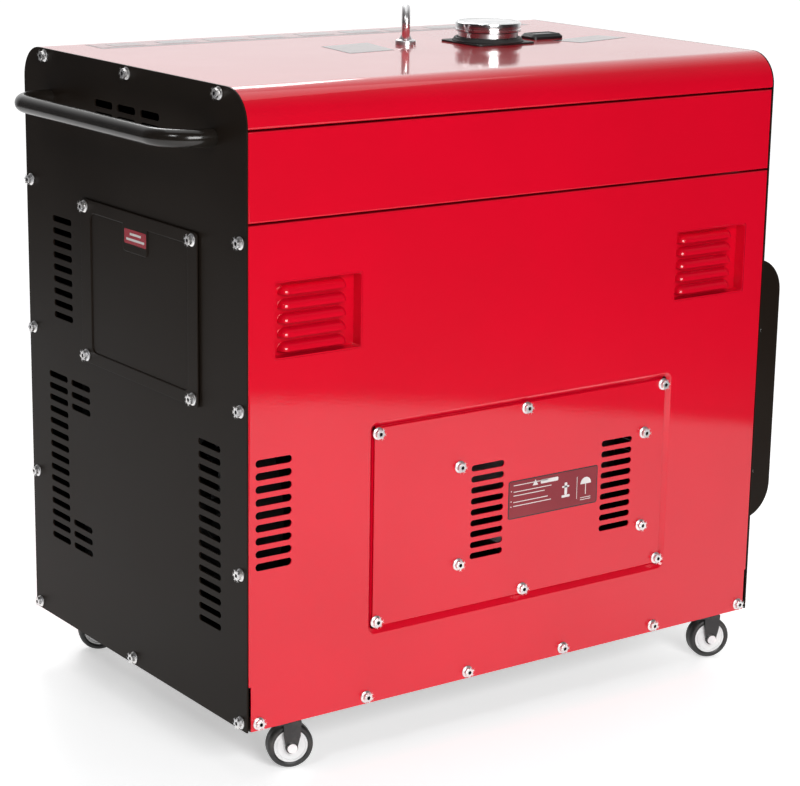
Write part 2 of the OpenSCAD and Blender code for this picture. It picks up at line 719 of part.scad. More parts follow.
module fuel_gauge() color([0.06, 0.06, 0.06]) translate([gauge_x, gauge_y, top_z]) difference() {
  union() {
    linear_extrude(4) round_rect(30, 39, 4);
    linear_extrude(8) round_rect(20, 27, 3);
    translate([0, 0, -26 - 60]) cylinder(h = 88, r = 8);
  }
  translate([0, 0, 6.5]) linear_extrude(4) round_rect(15, 21, 2);
}

// ---- casters ----

crown_z = zb - 4;                 // top of a fork's crown
leg_gap = wheel_w / 2 + 1.5;      // from a wheel's middle to a leg's inner face
leg_t = 2.5;

module caster_plates() color([0.72, 0.72, 0.72]) for (c = corners) {
  translate([c[0] * caster_x, c[1] * caster_y, 0]) {
    translate([0, 0, floor_z - tray_t - 2]) linear_extrude(2) round_rect(44, 40, 5);
    translate([0, 0, crown_z + 0.4]) cylinder(h = floor_z - tray_t - 2 - crown_z, r = 17);
    translate([0, 0, crown_z - 4]) cylinder(h = 22, r = 6);
    translate([0, 0, crown_z - 4]) cylinder(h = 1.2, r = 8);
  }
}

module at_caster(c) {
  translate([c[0] * caster_x, c[1] * caster_y, 0]) rotate(caster_turn) children();
}
module at_axle(c) at_caster(c) translate([caster_trail, 0, wheel_r]) rotate([90, 0, 0]) children();

module fork(c) color([0.06, 0.06, 0.06]) difference() {
  at_caster(c) {
    difference() {
      union() {
        translate([0, 0, crown_z - 2.5]) cylinder(h = 2.5, r = 18);
        span([0, -leg_gap - leg_t, crown_z - 2.5], [caster_trail + 11, leg_gap + leg_t, crown_z]);
      }
      translate([0, 0, crown_z - 10]) cylinder(h = 20, r = 6 + running);
    }
    for (s = [-1, 1]) facing_y(s > 0 ? leg_gap : -leg_gap - leg_t, leg_t) {
      translate([caster_trail, 0]) {
        polygon([[-9, crown_z], [11, crown_z], [10, wheel_r + 14], [6.5, wheel_r], [-6.5, wheel_r],
                 [-9, wheel_r + 16]]);
        translate([0, wheel_r]) circle(7);
      }
    }
  }
  at_axle(c) cylinder(h = 60, r = axle_r + running, center = true);
}

module axle(c) color([0.75, 0.75, 0.76]) at_axle(c) {
  half = leg_gap + leg_t;
  cylinder(h = 2 * half + 2, r = axle_r, center = true);
  translate([0, 0, half + 0.1]) cylinder(h = 3, r = 5.5);
  translate([0, 0, -half - 4.1]) cylinder(h = 4, d = 10 / cos(30), $fn = 6);
}

module rim(c) color([0.86, 0.86, 0.87]) at_axle(c) difference() {
  union() {
    cylinder(h = wheel_w - 4, r = rim_r, center = true);
    cylinder(h = wheel_w, r = 8, center = true);
  }
  for (s = [-1, 1]) translate([0, 0, s * (wheel_w / 2 - 1.6)]) difference() {
    cylinder(h = 1.6, r = rim_r - 2.2, center = true);
    cylinder(h = 3, r = rim_r - 3.2, center = true);
  }
  cylinder(h = wheel_w + 10, r = axle_r + running, center = true);
}

module tyre(c) color([0.05, 0.05, 0.05]) at_axle(c) rotate_extrude() difference() {
  translate([wheel_r - 8, 0]) {
    round_rect(16, wheel_w, 5);
    translate([-4, 0]) square([8, wheel_w - 2], center = true);
  }
  translate([0, -wheel_w]) square([rim_r, 2 * wheel_w]);
}

module fork_near_left() fork(corners[0]);
module fork_near_right() fork(corners[1]);
module fork_far_left() fork(corners[2]);
module fork_far_right() fork(corners[3]);
module axle_near_left() axle(corners[0]);
module axle_near_right() axle(corners[1]);
module axle_far_left() axle(corners[2]);
module axle_far_right() axle(corners[3]);
module rim_near_left() rim(corners[0]);
module rim_near_right() rim(corners[1]);
module rim_far_left() rim(corners[2]);
module rim_far_right() rim(corners[3]);
module tyre_near_left() tyre(corners[0]);
module tyre_near_right() tyre(corners[1]);
module tyre_far_left() tyre(corners[2]);
module tyre_far_right() tyre(corners[3]);

// ---- engine and alternator ----

// A round bar along X.
module rod(x0, x1, r, y = 0, z = cx) {
  translate([x0, y, z]) rotate([0, 90, 0]) cylinder(h = x1 - x0, r = r);
}

// The four rubber mounts' places under the engine and the alternator.
mount_places = [for (x = [block_x0 + 25, alt_x1 - 35], y = [-80, 80]) [x, y]];

module engine_block() color([0.45, 0.46, 0.47]) difference() {
  union() {
    span([block_x0, -block_w / 2, floor_z + mount_h + 10], [block_x, block_w / 2, cx + 60]);
    span([block_x0 + 5, -block_w / 2 - 5, floor_z + mount_h],
         [block_x - 5, block_w / 2 + 5, floor_z + mount_h + 10]);
    translate([head_x, 0, cx + 60]) cylinder(h = head_z - cx - 60, r = 62);
    for (i = [0:8]) translate([head_x, 0, cx + 70 + i * 15]) linear_extrude(4) round_rect(160, 150, 12);
    rod(block_x - 1, alt_x0, 54);
  }
  rod(block_x0 - 1, alt_x0 + 1, crank_r + running);
  span([block_x0 + 35, -70, cx - 70], [block_x - 35, 70, cx + 54]);
  translate([head_x, 0, cx + 40]) cylinder(h = 300, r = 43);
}

module cylinder_head() color([0.50, 0.51, 0.52]) {
  // the intake port and the exhaust port
  rod(head_x - 75, head_x - 40, 26, filter_cover_y, intake_z);
  rod(head_x + 40, head_x + 75, 19, muffler_y, intake_z);
  translate([head_x, 0, head_z]) {
    linear_extrude(14) round_rect(150, 140, 14);
    for (i = [0:2]) translate([0, 0, 18 + i * 9]) linear_extrude(4) round_rect(150, 140, 14);
    linear_extrude(46) round_rect(120, 112, 12);
    translate([0, 0, 46]) linear_extrude(22) round_rect(110, 90, 16);
    translate([0, 0, 68]) cylinder(h = 8, r = 12);
  }
}

module blower_housing() color([0.16, 0.16, 0.16]) difference() {
  rod(blower_x0, block_x0, blower_r);
  rod(blower_x0 + 2, block_x0 - 2, blower_r - 2);
  rod(blower_x0 - 1, blower_x0 + 4, 70);
  rod(block_x0 - 3, block_x0 + 1, crank_r + 4);
}

module flywheel_fan() color([0.35, 0.36, 0.37]) difference() {
  union() {
    rod(block_x0 - 20, block_x0 - 8, fan_r - 10);
    rod(blower_x0 + 14, block_x0 - 8, 38);
    for (i = [0:15]) translate([0, 0, cx]) rotate([i * 22.5, 0, 0])
      span([blower_x0 + 16, -2, 60], [block_x0 - 12, 2, fan_r]);
  }
  rod(blower_x0, block_x0, crank_r - 2);
}

module crankshaft_rotor() color([0.60, 0.61, 0.62]) {
  rod(blower_x0 + 10, block_x0 - 6, crank_r - 2);
  rod(block_x0 - 6, block_x0 + 52, crank_r);
  rod(block_x - 52, alt_x0 + 6, crank_r);
  // the two webs and the crank pin
  for (x = [block_x0 + 52, block_x - 64]) translate([0, 0, cx]) span([x, -24, -34], [x + 12, 24, 46]);
  rod(block_x0 + 60, block_x - 60, 16, 0, cx + 30);
  rod(alt_x0 + 6, alt_x1 + 8, shaft_r);
  rod(alt_x0 + 40, alt_x0 + 40 + rotor_l, rotor_r);
}

module alternator_housing() color([0.42, 0.43, 0.44]) difference() {
  union() {
    rod(alt_x0, alt_x1, alt_r);
    span([alt_x1 - 60, -95, floor_z + mount_h], [alt_x1 - 10, 95, floor_z + mount_h + 10]);
    span([alt_x1 - 50, -40, floor_z + mount_h], [alt_x1 - 20, 40, cx]);
  }
  rod(alt_x0 + alt_wall, alt_x1 - alt_wall, rotor_r + 4);
  rod(alt_x0 - 1, alt_x0 + alt_wall + 1, crank_r + 4);
  rod(alt_x1 - alt_wall - 1, alt_x1 + 1, shaft_r + running);
}

module muffler() color([0.35, 0.34, 0.33]) {
  difference() {
    rod(muffler_x0, muffler_x0 + muffler_l, muffler_r, muffler_y, muffler_z);
    rod(muffler_x0 + 2, muffler_x0 + muffler_l - 2, muffler_r - 2, muffler_y, muffler_z);
  }
  rod(head_x + 75, muffler_x0 + 2, 15, muffler_y, intake_z);
  for (x = [60, muffler_l - 60]) difference() {
    rod(muffler_x0 + x - 3, muffler_x0 + x + 3, muffler_r + 2, muffler_y, muffler_z);
    rod(muffler_x0 + x - 4, muffler_x0 + x + 4, muffler_r - 1, muffler_y, muffler_z);
  }
}

module tail_pipe() color([0.55, 0.54, 0.53]) difference() {
  union() {
    rod(muffler_x0 + muffler_l, spigot_x, pipe_r, muffler_y, muffler_z);
    rod(spigot_x, spigot_x + spigot_l, pipe_r + 1.5, muffler_y, muffler_z);
  }
  rod(muffler_x0 + muffler_l + 2, spigot_x + spigot_l + 1, pipe_r - 1.5, muffler_y, muffler_z);
}

module air_filter() color([0.10, 0.10, 0.10]) {
  rod(-in_l + 22, filter_x1, filter_r, filter_cover_y, zb + filter_cover_z);
  rod(-in_l + 16, -in_l + 22, 12, filter_cover_y, zb + filter_cover_z);
  rod(filter_x1, head_x - 75, 22, filter_cover_y, intake_z);
}

module engine_mounts() color([0.05, 0.05, 0.05])
  for (p = mount_places) translate([p[0], p[1], floor_z]) cylinder(h = mount_h, r = mount_r);

module battery() color([0.07, 0.07, 0.08]) {
  translate([door_x, in_w - 75, floor_z]) {
    linear_extrude(150) round_rect(181, 77, 4);
    linear_extrude(160) round_rect(165, 62, 4);
    for (x = [-1, 1]) translate([x * 72, 18, 160]) cylinder(h = 12, r = 8);
  }
}

// ---- service side ----

// A block as large as the control recess, with more added to its width and height.
module ctrl_block(y0, t, more) {
  facing_y(y0, t) translate([ctrl_x, zb + ctrl_z]) square([ctrl_w + more, ctrl_h + more], center = true);
}

module control_panel() color([0.07, 0.07, 0.07]) difference() {
  // a tray with a rim that lies against the inside of the side sheet
  ctrl_block(ctrl_y, ctrl_d - sheet, 20);
  ctrl_block(ctrl_y + sheet, ctrl_d, -2 * sheet);
  difference() {
    ctrl_block(ctrl_y - 1, ctrl_d - 2 * sheet + 1, 22);
    ctrl_block(ctrl_y - 2, ctrl_d + 4, 0);
  }
}

module socket_outlets() color([0.10, 0.10, 0.11]) {
  for (x = outlet_x) {
    difference() {
      facing_y(ctrl_y + sheet, outlet_d) translate([x, outlet_z]) round_rect(48, 48, 6);
      facing_y(ctrl_y + sheet + 6, outlet_d) translate([x, outlet_z]) circle(19);
    }
    // the hinge's fixed outer knuckles and its pin
    for (s = [-1, 1]) {
      translate([x + s * 19, lid_pin_y, lid_pin_z]) rotate([0, 90, 0]) cylinder(h = 8, r = 3, center = true);
      span([x + s * 19 - 4, ctrl_y + sheet, lid_pin_z - 4], [x + s * 19 + 4, lid_pin_y, lid_pin_z + 1]);
    }
    translate([x, lid_pin_y, lid_pin_z]) rotate([0, 90, 0]) cylinder(h = 44, r = 1.5, center = true);
  }
  // breaker body, starter switch barrel, voltmeter
  facing_y(ctrl_y + sheet, 12) translate([breaker_x, breaker_z]) round_rect(36, 62, 3);
  difference() {
    for (s = [-1, 1]) facing_y(ctrl_y + sheet, 20)
      translate([breaker_x + s * 9, breaker_z]) square([4, 16], center = true);
    translate([breaker_x, toggle_y, breaker_z]) rotate([0, 90, 0])
      cylinder(h = 60, r = 2 + running, center = true);
  }
  difference() {
    facing_y(ctrl_y + sheet, 8) translate([key_x, key_z]) circle(14);
    facing_y(ctrl_y + sheet - 1, 12) translate([key_x, key_z]) circle(5 + running);
  }
  facing_y(ctrl_y + sheet, 7) translate([ctrl_x - 60, zb + ctrl_z + 50]) round_rect(56, 48, 3);
  for (x = [10, 40, 70]) facing_y(ctrl_y + sheet, 4) translate([ctrl_x + x, zb + ctrl_z + 62]) circle(6);
}

module breaker_toggle() color([0.92, 0.92, 0.90]) translate([breaker_x, toggle_y, breaker_z]) {
  rotate([0, 90, 0]) cylinder(h = 20, r = 2, center = true);
  rotate([0, 90, 0]) cylinder(h = 12, r = 3.4, center = true);
  rotate([-25, 0, 0]) translate([-4.5, 2, -2]) cube([9, 13, 4]);
}

module ignition_key() color([0.70, 0.70, 0.72]) {
  facing_y(ctrl_y + sheet + 0.5, 11) translate([key_x, key_z]) circle(5);
  translate([key_x, key_y, key_z]) span([-1.2, 0, -9], [1.2, 20, 9]);
}

module outlet_lid(x) {
  difference() {
    union() {
      facing_y(ctrl_y + sheet + outlet_d + 0.4, 4) translate([x, outlet_z]) round_rect(46, 46, 8);
      translate([x, lid_pin_y, lid_pin_z]) rotate([0, 90, 0]) cylinder(h = 28, r = 3, center = true);
      span([x - 14, ctrl_y + sheet + outlet_d + 0.4, outlet_z + 15], [x + 14, lid_pin_y + 1.4, lid_pin_z]);
    }
    translate([x, lid_pin_y, lid_pin_z]) rotate([0, 90, 0])
      cylinder(h = 40, r = 1.5 + running, center = true);
  }
}
module outlet_lid_left() color([0.12, 0.25, 0.60]) outlet_lid(outlet_x[0]);
module outlet_lid_right() color([0.12, 0.25, 0.60]) outlet_lid(outlet_x[1]);

module service_door() color([0.80, 0.02, 0.08]) difference() {
  union() {
    facing_y(in_w, sheet) translate([door_x, zb + door_z]) square([door_w, door_h], center = true);
    for (s = [-1, 1]) {
      span([door_x + s * (door_w / 2 - 1) - 1, in_w - 12, zb + door_z - door_h / 2],
           [door_x + s * (door_w / 2 - 1) + 1, in_w, zb + door_z + door_h / 2]);
      span([door_x0, in_w - 12, zb + door_z + s * (door_h / 2 - 1) - 1],
           [door_x0 + door_w, in_w, zb + door_z + s * (door_h / 2 - 1) + 1]);
    }
    for (z = [-1, 1]) hinge_swing(z) {
      cylinder(h = 23, r = knuckle_r);
      translate([0, -sheet, 0]) cube([knuckle_r + 8, sheet, 23]);
    }
  }
  for (z = [-1, 1]) hinge_swing(z) {
    translate([0, 0, -30]) cylinder(h = 60, r = hinge_pin_r + running);
    translate([-20, -20, -30]) cube([20 + knuckle_r + 0.6, 40, 29.7]);
  }
  // the latch's tongue passes through a notch in the door's edge
  translate([door_x + door_w / 2 - 3, in_w - 13, zb + door_z - 12]) cube([4, 13, 52]);
  translate([latch_x, half_w, zb + door_z]) rotate([90, 0, 0])
    cylinder(h = 40, r = latch_r + running, center = true);
}

module door_latch() color([0.70, 0.70, 0.71]) translate([latch_x, 0, zb + door_z]) {
  facing_y(half_w + 0.1, 3.5) difference() {
    circle(15);
    square([16, 3], center = true);
  }
  facing_y(in_w - 5, sheet + 8) circle(latch_r);
  facing_y(in_w - 5, 3) hull() {
    circle(8);
    translate([0, 28]) circle(6);
  }
}

module at_earth() { translate([half_l - 60, 0, zb + 45]) side_turn(1) children(); }

module earth_stud() color([0.80, 0.65, 0.30]) at_earth() {
  translate([0, 0, -sheet - 8]) cylinder(h = 8, d = 13 / cos(30), $fn = 6);
  translate([0, 0, -sheet - 8]) cylinder(h = sheet + 8 + 5, r = 3);
  cylinder(h = 1.2, r = 6.5);
}

base_tray();
end_panel_left();
end_panel_right();
side_panel_front();
side_panel_back();
upper_band_front();
upper_band_back();
lid();
louvre_boxes();
access_cover();
filter_cover();
exhaust_hood();
carry_handles();
eye_bolt();
lifting_frame();
end_panel_bolts();
side_panel_bolts();
fuel_tank();
filler_neck();
filler_gasket();
cap_seal();
fuel_cap();
fuel_gauge();
caster_plates();
fork_near_left();
fork_near_right();
fork_far_left();
fork_far_right();
axle_near_left();
axle_near_right();
axle_far_left();
axle_far_right();
rim_near_left();
rim_near_right();
rim_far_left();
rim_far_right();
tyre_near_left();
tyre_near_right();
tyre_far_left();
tyre_far_right();
engine_block();
cylinder_head();
blower_housing();
flywheel_fan();
crankshaft_rotor();
alternator_housing();
muffler();
tail_pipe();
air_filter();
engine_mounts();
battery();
control_panel();
breaker_toggle();
ignition_key();
socket_outlets();
outlet_lid_left();
outlet_lid_right();
service_door();
door_latch();
earth_stud();
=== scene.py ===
# %% [markdown]
# # An enclosed diesel generator on casters
#
# The frame below is the exact CAD model. It holds every moving body, so nothing here moves a CAD part.
# This lesson gives each part its finish, and replaces the parts whose small shapes catch the eye:
# bolts, folded and pressed sheets, the fuel cap and its gasket, the lifting eye, the gauge, the filter
# cover, the wheels and the handles. It also adds printed films and a seal round the service door.

# %% Load the frame
import math

import bmesh
import bpy
from mathutils import Matrix, Vector


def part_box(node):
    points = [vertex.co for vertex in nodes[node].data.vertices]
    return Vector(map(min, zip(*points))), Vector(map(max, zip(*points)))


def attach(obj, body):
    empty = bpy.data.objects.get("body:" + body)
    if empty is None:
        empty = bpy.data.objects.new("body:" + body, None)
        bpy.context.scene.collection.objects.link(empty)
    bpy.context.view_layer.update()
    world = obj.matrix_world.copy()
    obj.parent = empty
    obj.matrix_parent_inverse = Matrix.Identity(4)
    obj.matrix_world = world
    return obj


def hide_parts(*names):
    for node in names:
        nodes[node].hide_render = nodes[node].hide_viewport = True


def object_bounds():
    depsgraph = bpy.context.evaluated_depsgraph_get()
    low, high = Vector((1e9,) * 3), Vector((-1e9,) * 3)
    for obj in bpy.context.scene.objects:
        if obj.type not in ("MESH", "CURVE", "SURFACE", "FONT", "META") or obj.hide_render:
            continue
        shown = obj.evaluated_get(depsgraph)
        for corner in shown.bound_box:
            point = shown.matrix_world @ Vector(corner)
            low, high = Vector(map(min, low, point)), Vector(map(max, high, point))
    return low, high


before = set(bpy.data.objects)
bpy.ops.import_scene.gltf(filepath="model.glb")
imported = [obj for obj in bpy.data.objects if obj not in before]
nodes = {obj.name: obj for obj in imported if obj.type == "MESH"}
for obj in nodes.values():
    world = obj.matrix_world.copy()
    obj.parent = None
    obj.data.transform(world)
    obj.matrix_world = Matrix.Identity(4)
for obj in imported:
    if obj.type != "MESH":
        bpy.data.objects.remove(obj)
cad_low, cad_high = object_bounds()

# %% [markdown]
# ## The camera
#
# The camera stands in front of the left corner, a little above the roof, and looks down by about
# 14 degrees. It is built from its own right, up and backward directions, which says exactly where it looks.

# %% Stand the camera
MM = 0.001
CAMERA_PLACE = Vector((-1.62821, -2.27325, 1.05923))
PITCH, ROLL, TURN = math.radians(14.4635), math.radians(0.9192), math.radians(-35.7082)

ahead = Vector((-math.sin(TURN) * math.cos(PITCH), math.cos(TURN) * math.cos(PITCH), -math.sin(PITCH)))
level_right = Vector((math.cos(TURN), math.sin(TURN), 0))
level_up = level_right.cross(ahead)
camera_right = math.cos(ROLL) * level_right + math.sin(ROLL) * level_up
camera_up = -math.sin(ROLL) * level_right + math.cos(ROLL) * level_up

camera_data = bpy.data.cameras.new("camera")
camera_data.lens, camera_data.sensor_width = 105.79, 36
camera_data.clip_start, camera_data.clip_end = 0.05, 100
camera = bpy.data.objects.new("camera", camera_data)
bpy.context.scene.collection.objects.link(camera)
axes = Matrix((camera_right, camera_up, -ahead)).transposed().to_4x4()
camera.matrix_world = Matrix.Translation(CAMERA_PLACE) @ axes
bpy.context.scene.camera = camera
bpy.context.scene.view_settings.view_transform = "Standard"
print("camera looks along", [round(x, 3) for x in ahead])

# %% [markdown]
# ## The studio
#
# Glossy red paint is mostly a mirror of the room. The room is bright behind the machine, where it lights up
# the roof, and dim on the near side, so that the upright panels keep a deep red. A broad lamp in front
# lights them, and three weaker ones stand above, to the left and behind. The camera itself sees a plain
# white sheet in place of that room.

# %% Light the room
def lamp(name, place, target, size, power):
    """A soft rectangular lamp at place that shines at target."""
    data = bpy.data.lights.new(name, "AREA")
    data.shape, data.size, data.size_y = "RECTANGLE", size[0], size[1]
    data.energy = power
    obj = bpy.data.objects.new(name, data)
    bpy.context.scene.collection.objects.link(obj)
    away = (Vector(place) - Vector(target)).normalized()
    obj.matrix_world = Matrix.Translation(place) @ away.to_track_quat("Z", "Y").to_matrix().to_4x4()


lamp("lamp_front", (-0.7, -3.0, 1.6), (0.05, -0.2, 0.4), (1.6, 1.2), 72)
lamp("lamp_top", (0.2, 0.2, 3.0), (0, 0, 0.5), (2.4, 2.0), 14)
lamp("lamp_left", (-2.4, -1.2, 2.6), (-0.2, 0, 0.4), (0.6, 0.5), 14)
lamp("lamp_back", (1.2, 2.6, 2.6), (0, 0, 0.4), (1.4, 1.0), 24)

world = bpy.data.worlds.new("studio")
bpy.context.scene.world = world
world.use_nodes = True
sky = world.node_tree
sky.nodes.clear()
direction = sky.nodes.new("ShaderNodeTexCoord")
toward = sky.nodes.new("ShaderNodeVectorMath")
toward.operation = "DOT_PRODUCT"
toward.inputs[1].default_value = (0.6, 0.75, 0.28)
ramp = sky.nodes.new("ShaderNodeValToRGB")
ramp.color_ramp.elements[0].position, ramp.color_ramp.elements[0].color = 0.0, (0.02, 0.02, 0.021, 1)
ramp.color_ramp.elements[1].position, ramp.color_ramp.elements[1].color = 0.9, (1.0, 1.0, 1.0, 1)
middle = ramp.color_ramp.elements.new(0.5)
middle.color = (0.16, 0.16, 0.165, 1)
background = sky.nodes.new("ShaderNodeBackground")
background.inputs["Strength"].default_value = 1.0
sheet = sky.nodes.new("ShaderNodeBackground")
sheet.inputs["Strength"].default_value = 1.1
seen = sky.nodes.new("ShaderNodeLightPath")
choice = sky.nodes.new("ShaderNodeMixShader")
out = sky.nodes.new("ShaderNodeOutputWorld")
sky.links.new(direction.outputs["Generated"], toward.inputs[0])
sky.links.new(toward.outputs["Value"], ramp.inputs[0])
sky.links.new(ramp.outputs[0], background.inputs["Color"])
sheet.inputs["Color"].default_value = (1, 1, 1, 1)
sky.links.new(seen.outputs["Is Camera Ray"], choice.inputs["Fac"])
sky.links.new(background.outputs[0], choice.inputs[1])
sky.links.new(sheet.outputs[0], choice.inputs[2])
sky.links.new(choice.outputs[0], out.inputs["Surface"])
print("lit the room with four lamps and a soft sky")

# %% [markdown]
# ## Shared surface effects
#
# Three small node groups serve all the finishes. The first mottles a colour and a roughness slowly over a
# surface, because no real coat is even. The second makes a fine height for a bump: orange peel in paint,
# sand grain in a casting, fine texture in plastic. The third lays a thin cloudy film of dust over a colour
# and makes it duller. They only put out colours and values, so each material keeps its own shader.

# %% Build the node groups
def new_group(name, inputs, outputs):
    """A shader node group with its named sockets, and its two end nodes."""
    tree = bpy.data.node_groups.new(name, "ShaderNodeTree")
    for label, kind, value in inputs:
        socket = tree.interface.new_socket(name=label, in_out="INPUT", socket_type=kind)
        if value is not None:
            socket.default_value = value
    for label, kind in outputs:
        tree.interface.new_socket(name=label, in_out="OUTPUT", socket_type=kind)
    return tree, tree.nodes.new("NodeGroupInput"), tree.nodes.new("NodeGroupOutput")


def noise(tree, vector, scale, detail, rough=0.5):
    """A noise node that reads vector; scale is a number or a socket."""
    node = tree.nodes.new("ShaderNodeTexNoise")
    node.inputs["Detail"].default_value, node.inputs["Roughness"].default_value = detail, rough
    tree.links.new(vector, node.inputs["Vector"])
    if isinstance(scale, (int, float)):
        node.inputs["Scale"].default_value = scale
    else:
        tree.links.new(scale, node.inputs["Scale"])
    return node


def map_range(tree, value, low, high, to_low, to_high):
    """A smooth range map of value; to_low and to_high are numbers or sockets."""
    node = tree.nodes.new("ShaderNodeMapRange")
    node.interpolation_type = "SMOOTHSTEP"
    tree.links.new(value, node.inputs["Value"])
    node.inputs["From Min"].default_value, node.inputs["From Max"].default_value = low, high
    for socket, x in (("To Min", to_low), ("To Max", to_high)):
        if isinstance(x, (int, float)):
            node.inputs[socket].default_value = x
        else:
            tree.links.new(x, node.inputs[socket])
    return node.outputs[0]


COLOUR, VALUE, VECTOR = "NodeSocketColor", "NodeSocketFloat", "NodeSocketVector"

mottle, given, result = new_group(
    "mottle",
    [("Vector", VECTOR, None), ("Colour", COLOUR, (0.5, 0.5, 0.5, 1)),
     ("Other Colour", COLOUR, (0.4, 0.4, 0.4, 1)), ("Scale", VALUE, 6.0), ("Roughness Low", VALUE, 0.3),
     ("Roughness High", VALUE, 0.4)],
    [("Colour", COLOUR), ("Roughness", VALUE)])
slow = noise(mottle, given.outputs["Vector"], given.outputs["Scale"], 4)
share = map_range(mottle, slow.outputs["Fac"], 0.35, 0.65, 0.0, 1.0)


def mix_colours(tree, share, first, second):
    """A colour mix; first and second are colours or sockets."""
    node = tree.nodes.new("ShaderNodeMix")
    node.data_type = "RGBA"
    tree.links.new(share, node.inputs[0])
    for socket, x in ((node.inputs[6], first), (node.inputs[7], second)):
        if isinstance(x, tuple):
            socket.default_value = x
        else:
            tree.links.new(x, socket)
    return node.outputs[2]


blended = mix_colours(mottle, share, given.outputs["Colour"], given.outputs["Other Colour"])
mottle.links.new(blended, result.inputs["Colour"])
rough = map_range(mottle, slow.outputs["Fac"], 0.3, 0.7, given.outputs["Roughness Low"],
                  given.outputs["Roughness High"])
mottle.links.new(rough, result.inputs["Roughness"])

fine_height, given, result = new_group(
    "fine_height",
    [("Vector", VECTOR, None), ("Fine Scale", VALUE, 900.0), ("Slow Scale", VALUE, 60.0),
     ("Slow Share", VALUE, 0.5)],
    [("Height", VALUE)])
fine = noise(fine_height, given.outputs["Vector"], given.outputs["Fine Scale"], 2)
wavy = noise(fine_height, given.outputs["Vector"], given.outputs["Slow Scale"], 1)
height_mix = fine_height.nodes.new("ShaderNodeMix")
fine_height.links.new(given.outputs["Slow Share"], height_mix.inputs[0])
fine_height.links.new(fine.outputs["Fac"], height_mix.inputs[2])
fine_height.links.new(wavy.outputs["Fac"], height_mix.inputs[3])
fine_height.links.new(height_mix.outputs[0], result.inputs["Height"])

dust, given, result = new_group(
    "dust",
    [("Vector", VECTOR, None), ("Colour", COLOUR, (0.5, 0.5, 0.5, 1)), ("Roughness", VALUE, 0.4),
     ("Dust Colour", COLOUR, (0.45, 0.42, 0.38, 1)), ("Amount", VALUE, 0.2)],
    [("Colour", COLOUR), ("Roughness", VALUE)])
cloud = noise(dust, given.outputs["Vector"], 45, 6, 0.65)
settled = map_range(dust, cloud.outputs["Fac"], 0.45, 0.75, 0.0, given.outputs["Amount"])
dusted = mix_colours(dust, settled, given.outputs["Colour"], given.outputs["Dust Colour"])
dust.links.new(dusted, result.inputs["Colour"])
duller = dust.nodes.new("ShaderNodeMath")
duller.operation = "ADD"
dust.links.new(given.outputs["Roughness"], duller.inputs[0])
dust.links.new(settled, duller.inputs[1])
dust.links.new(duller.outputs[0], result.inputs["Roughness"])
print("built the groups", [g.name for g in bpy.data.node_groups])

# %% [markdown]
# ## The finishes
#
# One helper makes a finish from the groups: a mottled colour, a little dust, and a fine bump. What is the
# same all over, such as the metal share or the clear coat, is set on the shader itself.

# %% A helper for finishes
def finish(name, colour, other, rough, scale=6, metal=0.0, coat=0.0, coat_rough=0.05, bump=0.2, depth=0.0002,
           fine=900, slow=60, slow_share=0.5, dusty=0.0, specular=0.5):
    """A Principled material; colours are linear RGB, depth is the bump's height in metres."""
    material = bpy.data.materials.new(name)
    material.use_nodes = True
    tree = material.node_tree
    shader = tree.nodes["Principled BSDF"]
    place = tree.nodes.new("ShaderNodeTexCoord").outputs["Object"]
    look = tree.nodes.new("ShaderNodeGroup")
    look.node_tree = mottle
    look.inputs["Colour"].default_value, look.inputs["Other Colour"].default_value = (*colour, 1), (*other, 1)
    look.inputs["Scale"].default_value = scale
    look.inputs["Roughness Low"].default_value, look.inputs["Roughness High"].default_value = rough
    tree.links.new(place, look.inputs["Vector"])
    colour_out, rough_out = look.outputs["Colour"], look.outputs["Roughness"]
    if dusty:
        film = tree.nodes.new("ShaderNodeGroup")
        film.node_tree = dust
        film.inputs["Amount"].default_value = dusty
        tree.links.new(place, film.inputs["Vector"])
        tree.links.new(colour_out, film.inputs["Colour"])
        tree.links.new(rough_out, film.inputs["Roughness"])
        colour_out, rough_out = film.outputs["Colour"], film.outputs["Roughness"]
    tree.links.new(colour_out, shader.inputs["Base Color"])
    tree.links.new(rough_out, shader.inputs["Roughness"])
    shader.inputs["Metallic"].default_value = metal
    shader.inputs["Specular IOR Level"].default_value = specular
    shader.inputs["Coat Weight"].default_value = coat
    shader.inputs["Coat Roughness"].default_value = coat_rough
    height = tree.nodes.new("ShaderNodeGroup")
    height.node_tree = fine_height
    height.inputs["Fine Scale"].default_value, height.inputs["Slow Scale"].default_value = fine, slow
    height.inputs["Slow Share"].default_value = slow_share
    tree.links.new(place, height.inputs["Vector"])
    relief = tree.nodes.new("ShaderNodeBump")
    relief.inputs["Strength"].default_value, relief.inputs["Distance"].default_value = bump, depth
    tree.links.new(height.outputs["Height"], relief.inputs["Height"])
    tree.links.new(relief.outputs["Normal"], shader.inputs["Normal"])
    if coat:
        tree.links.new(relief.outputs["Normal"], shader.inputs["Coat Normal"])
    return material


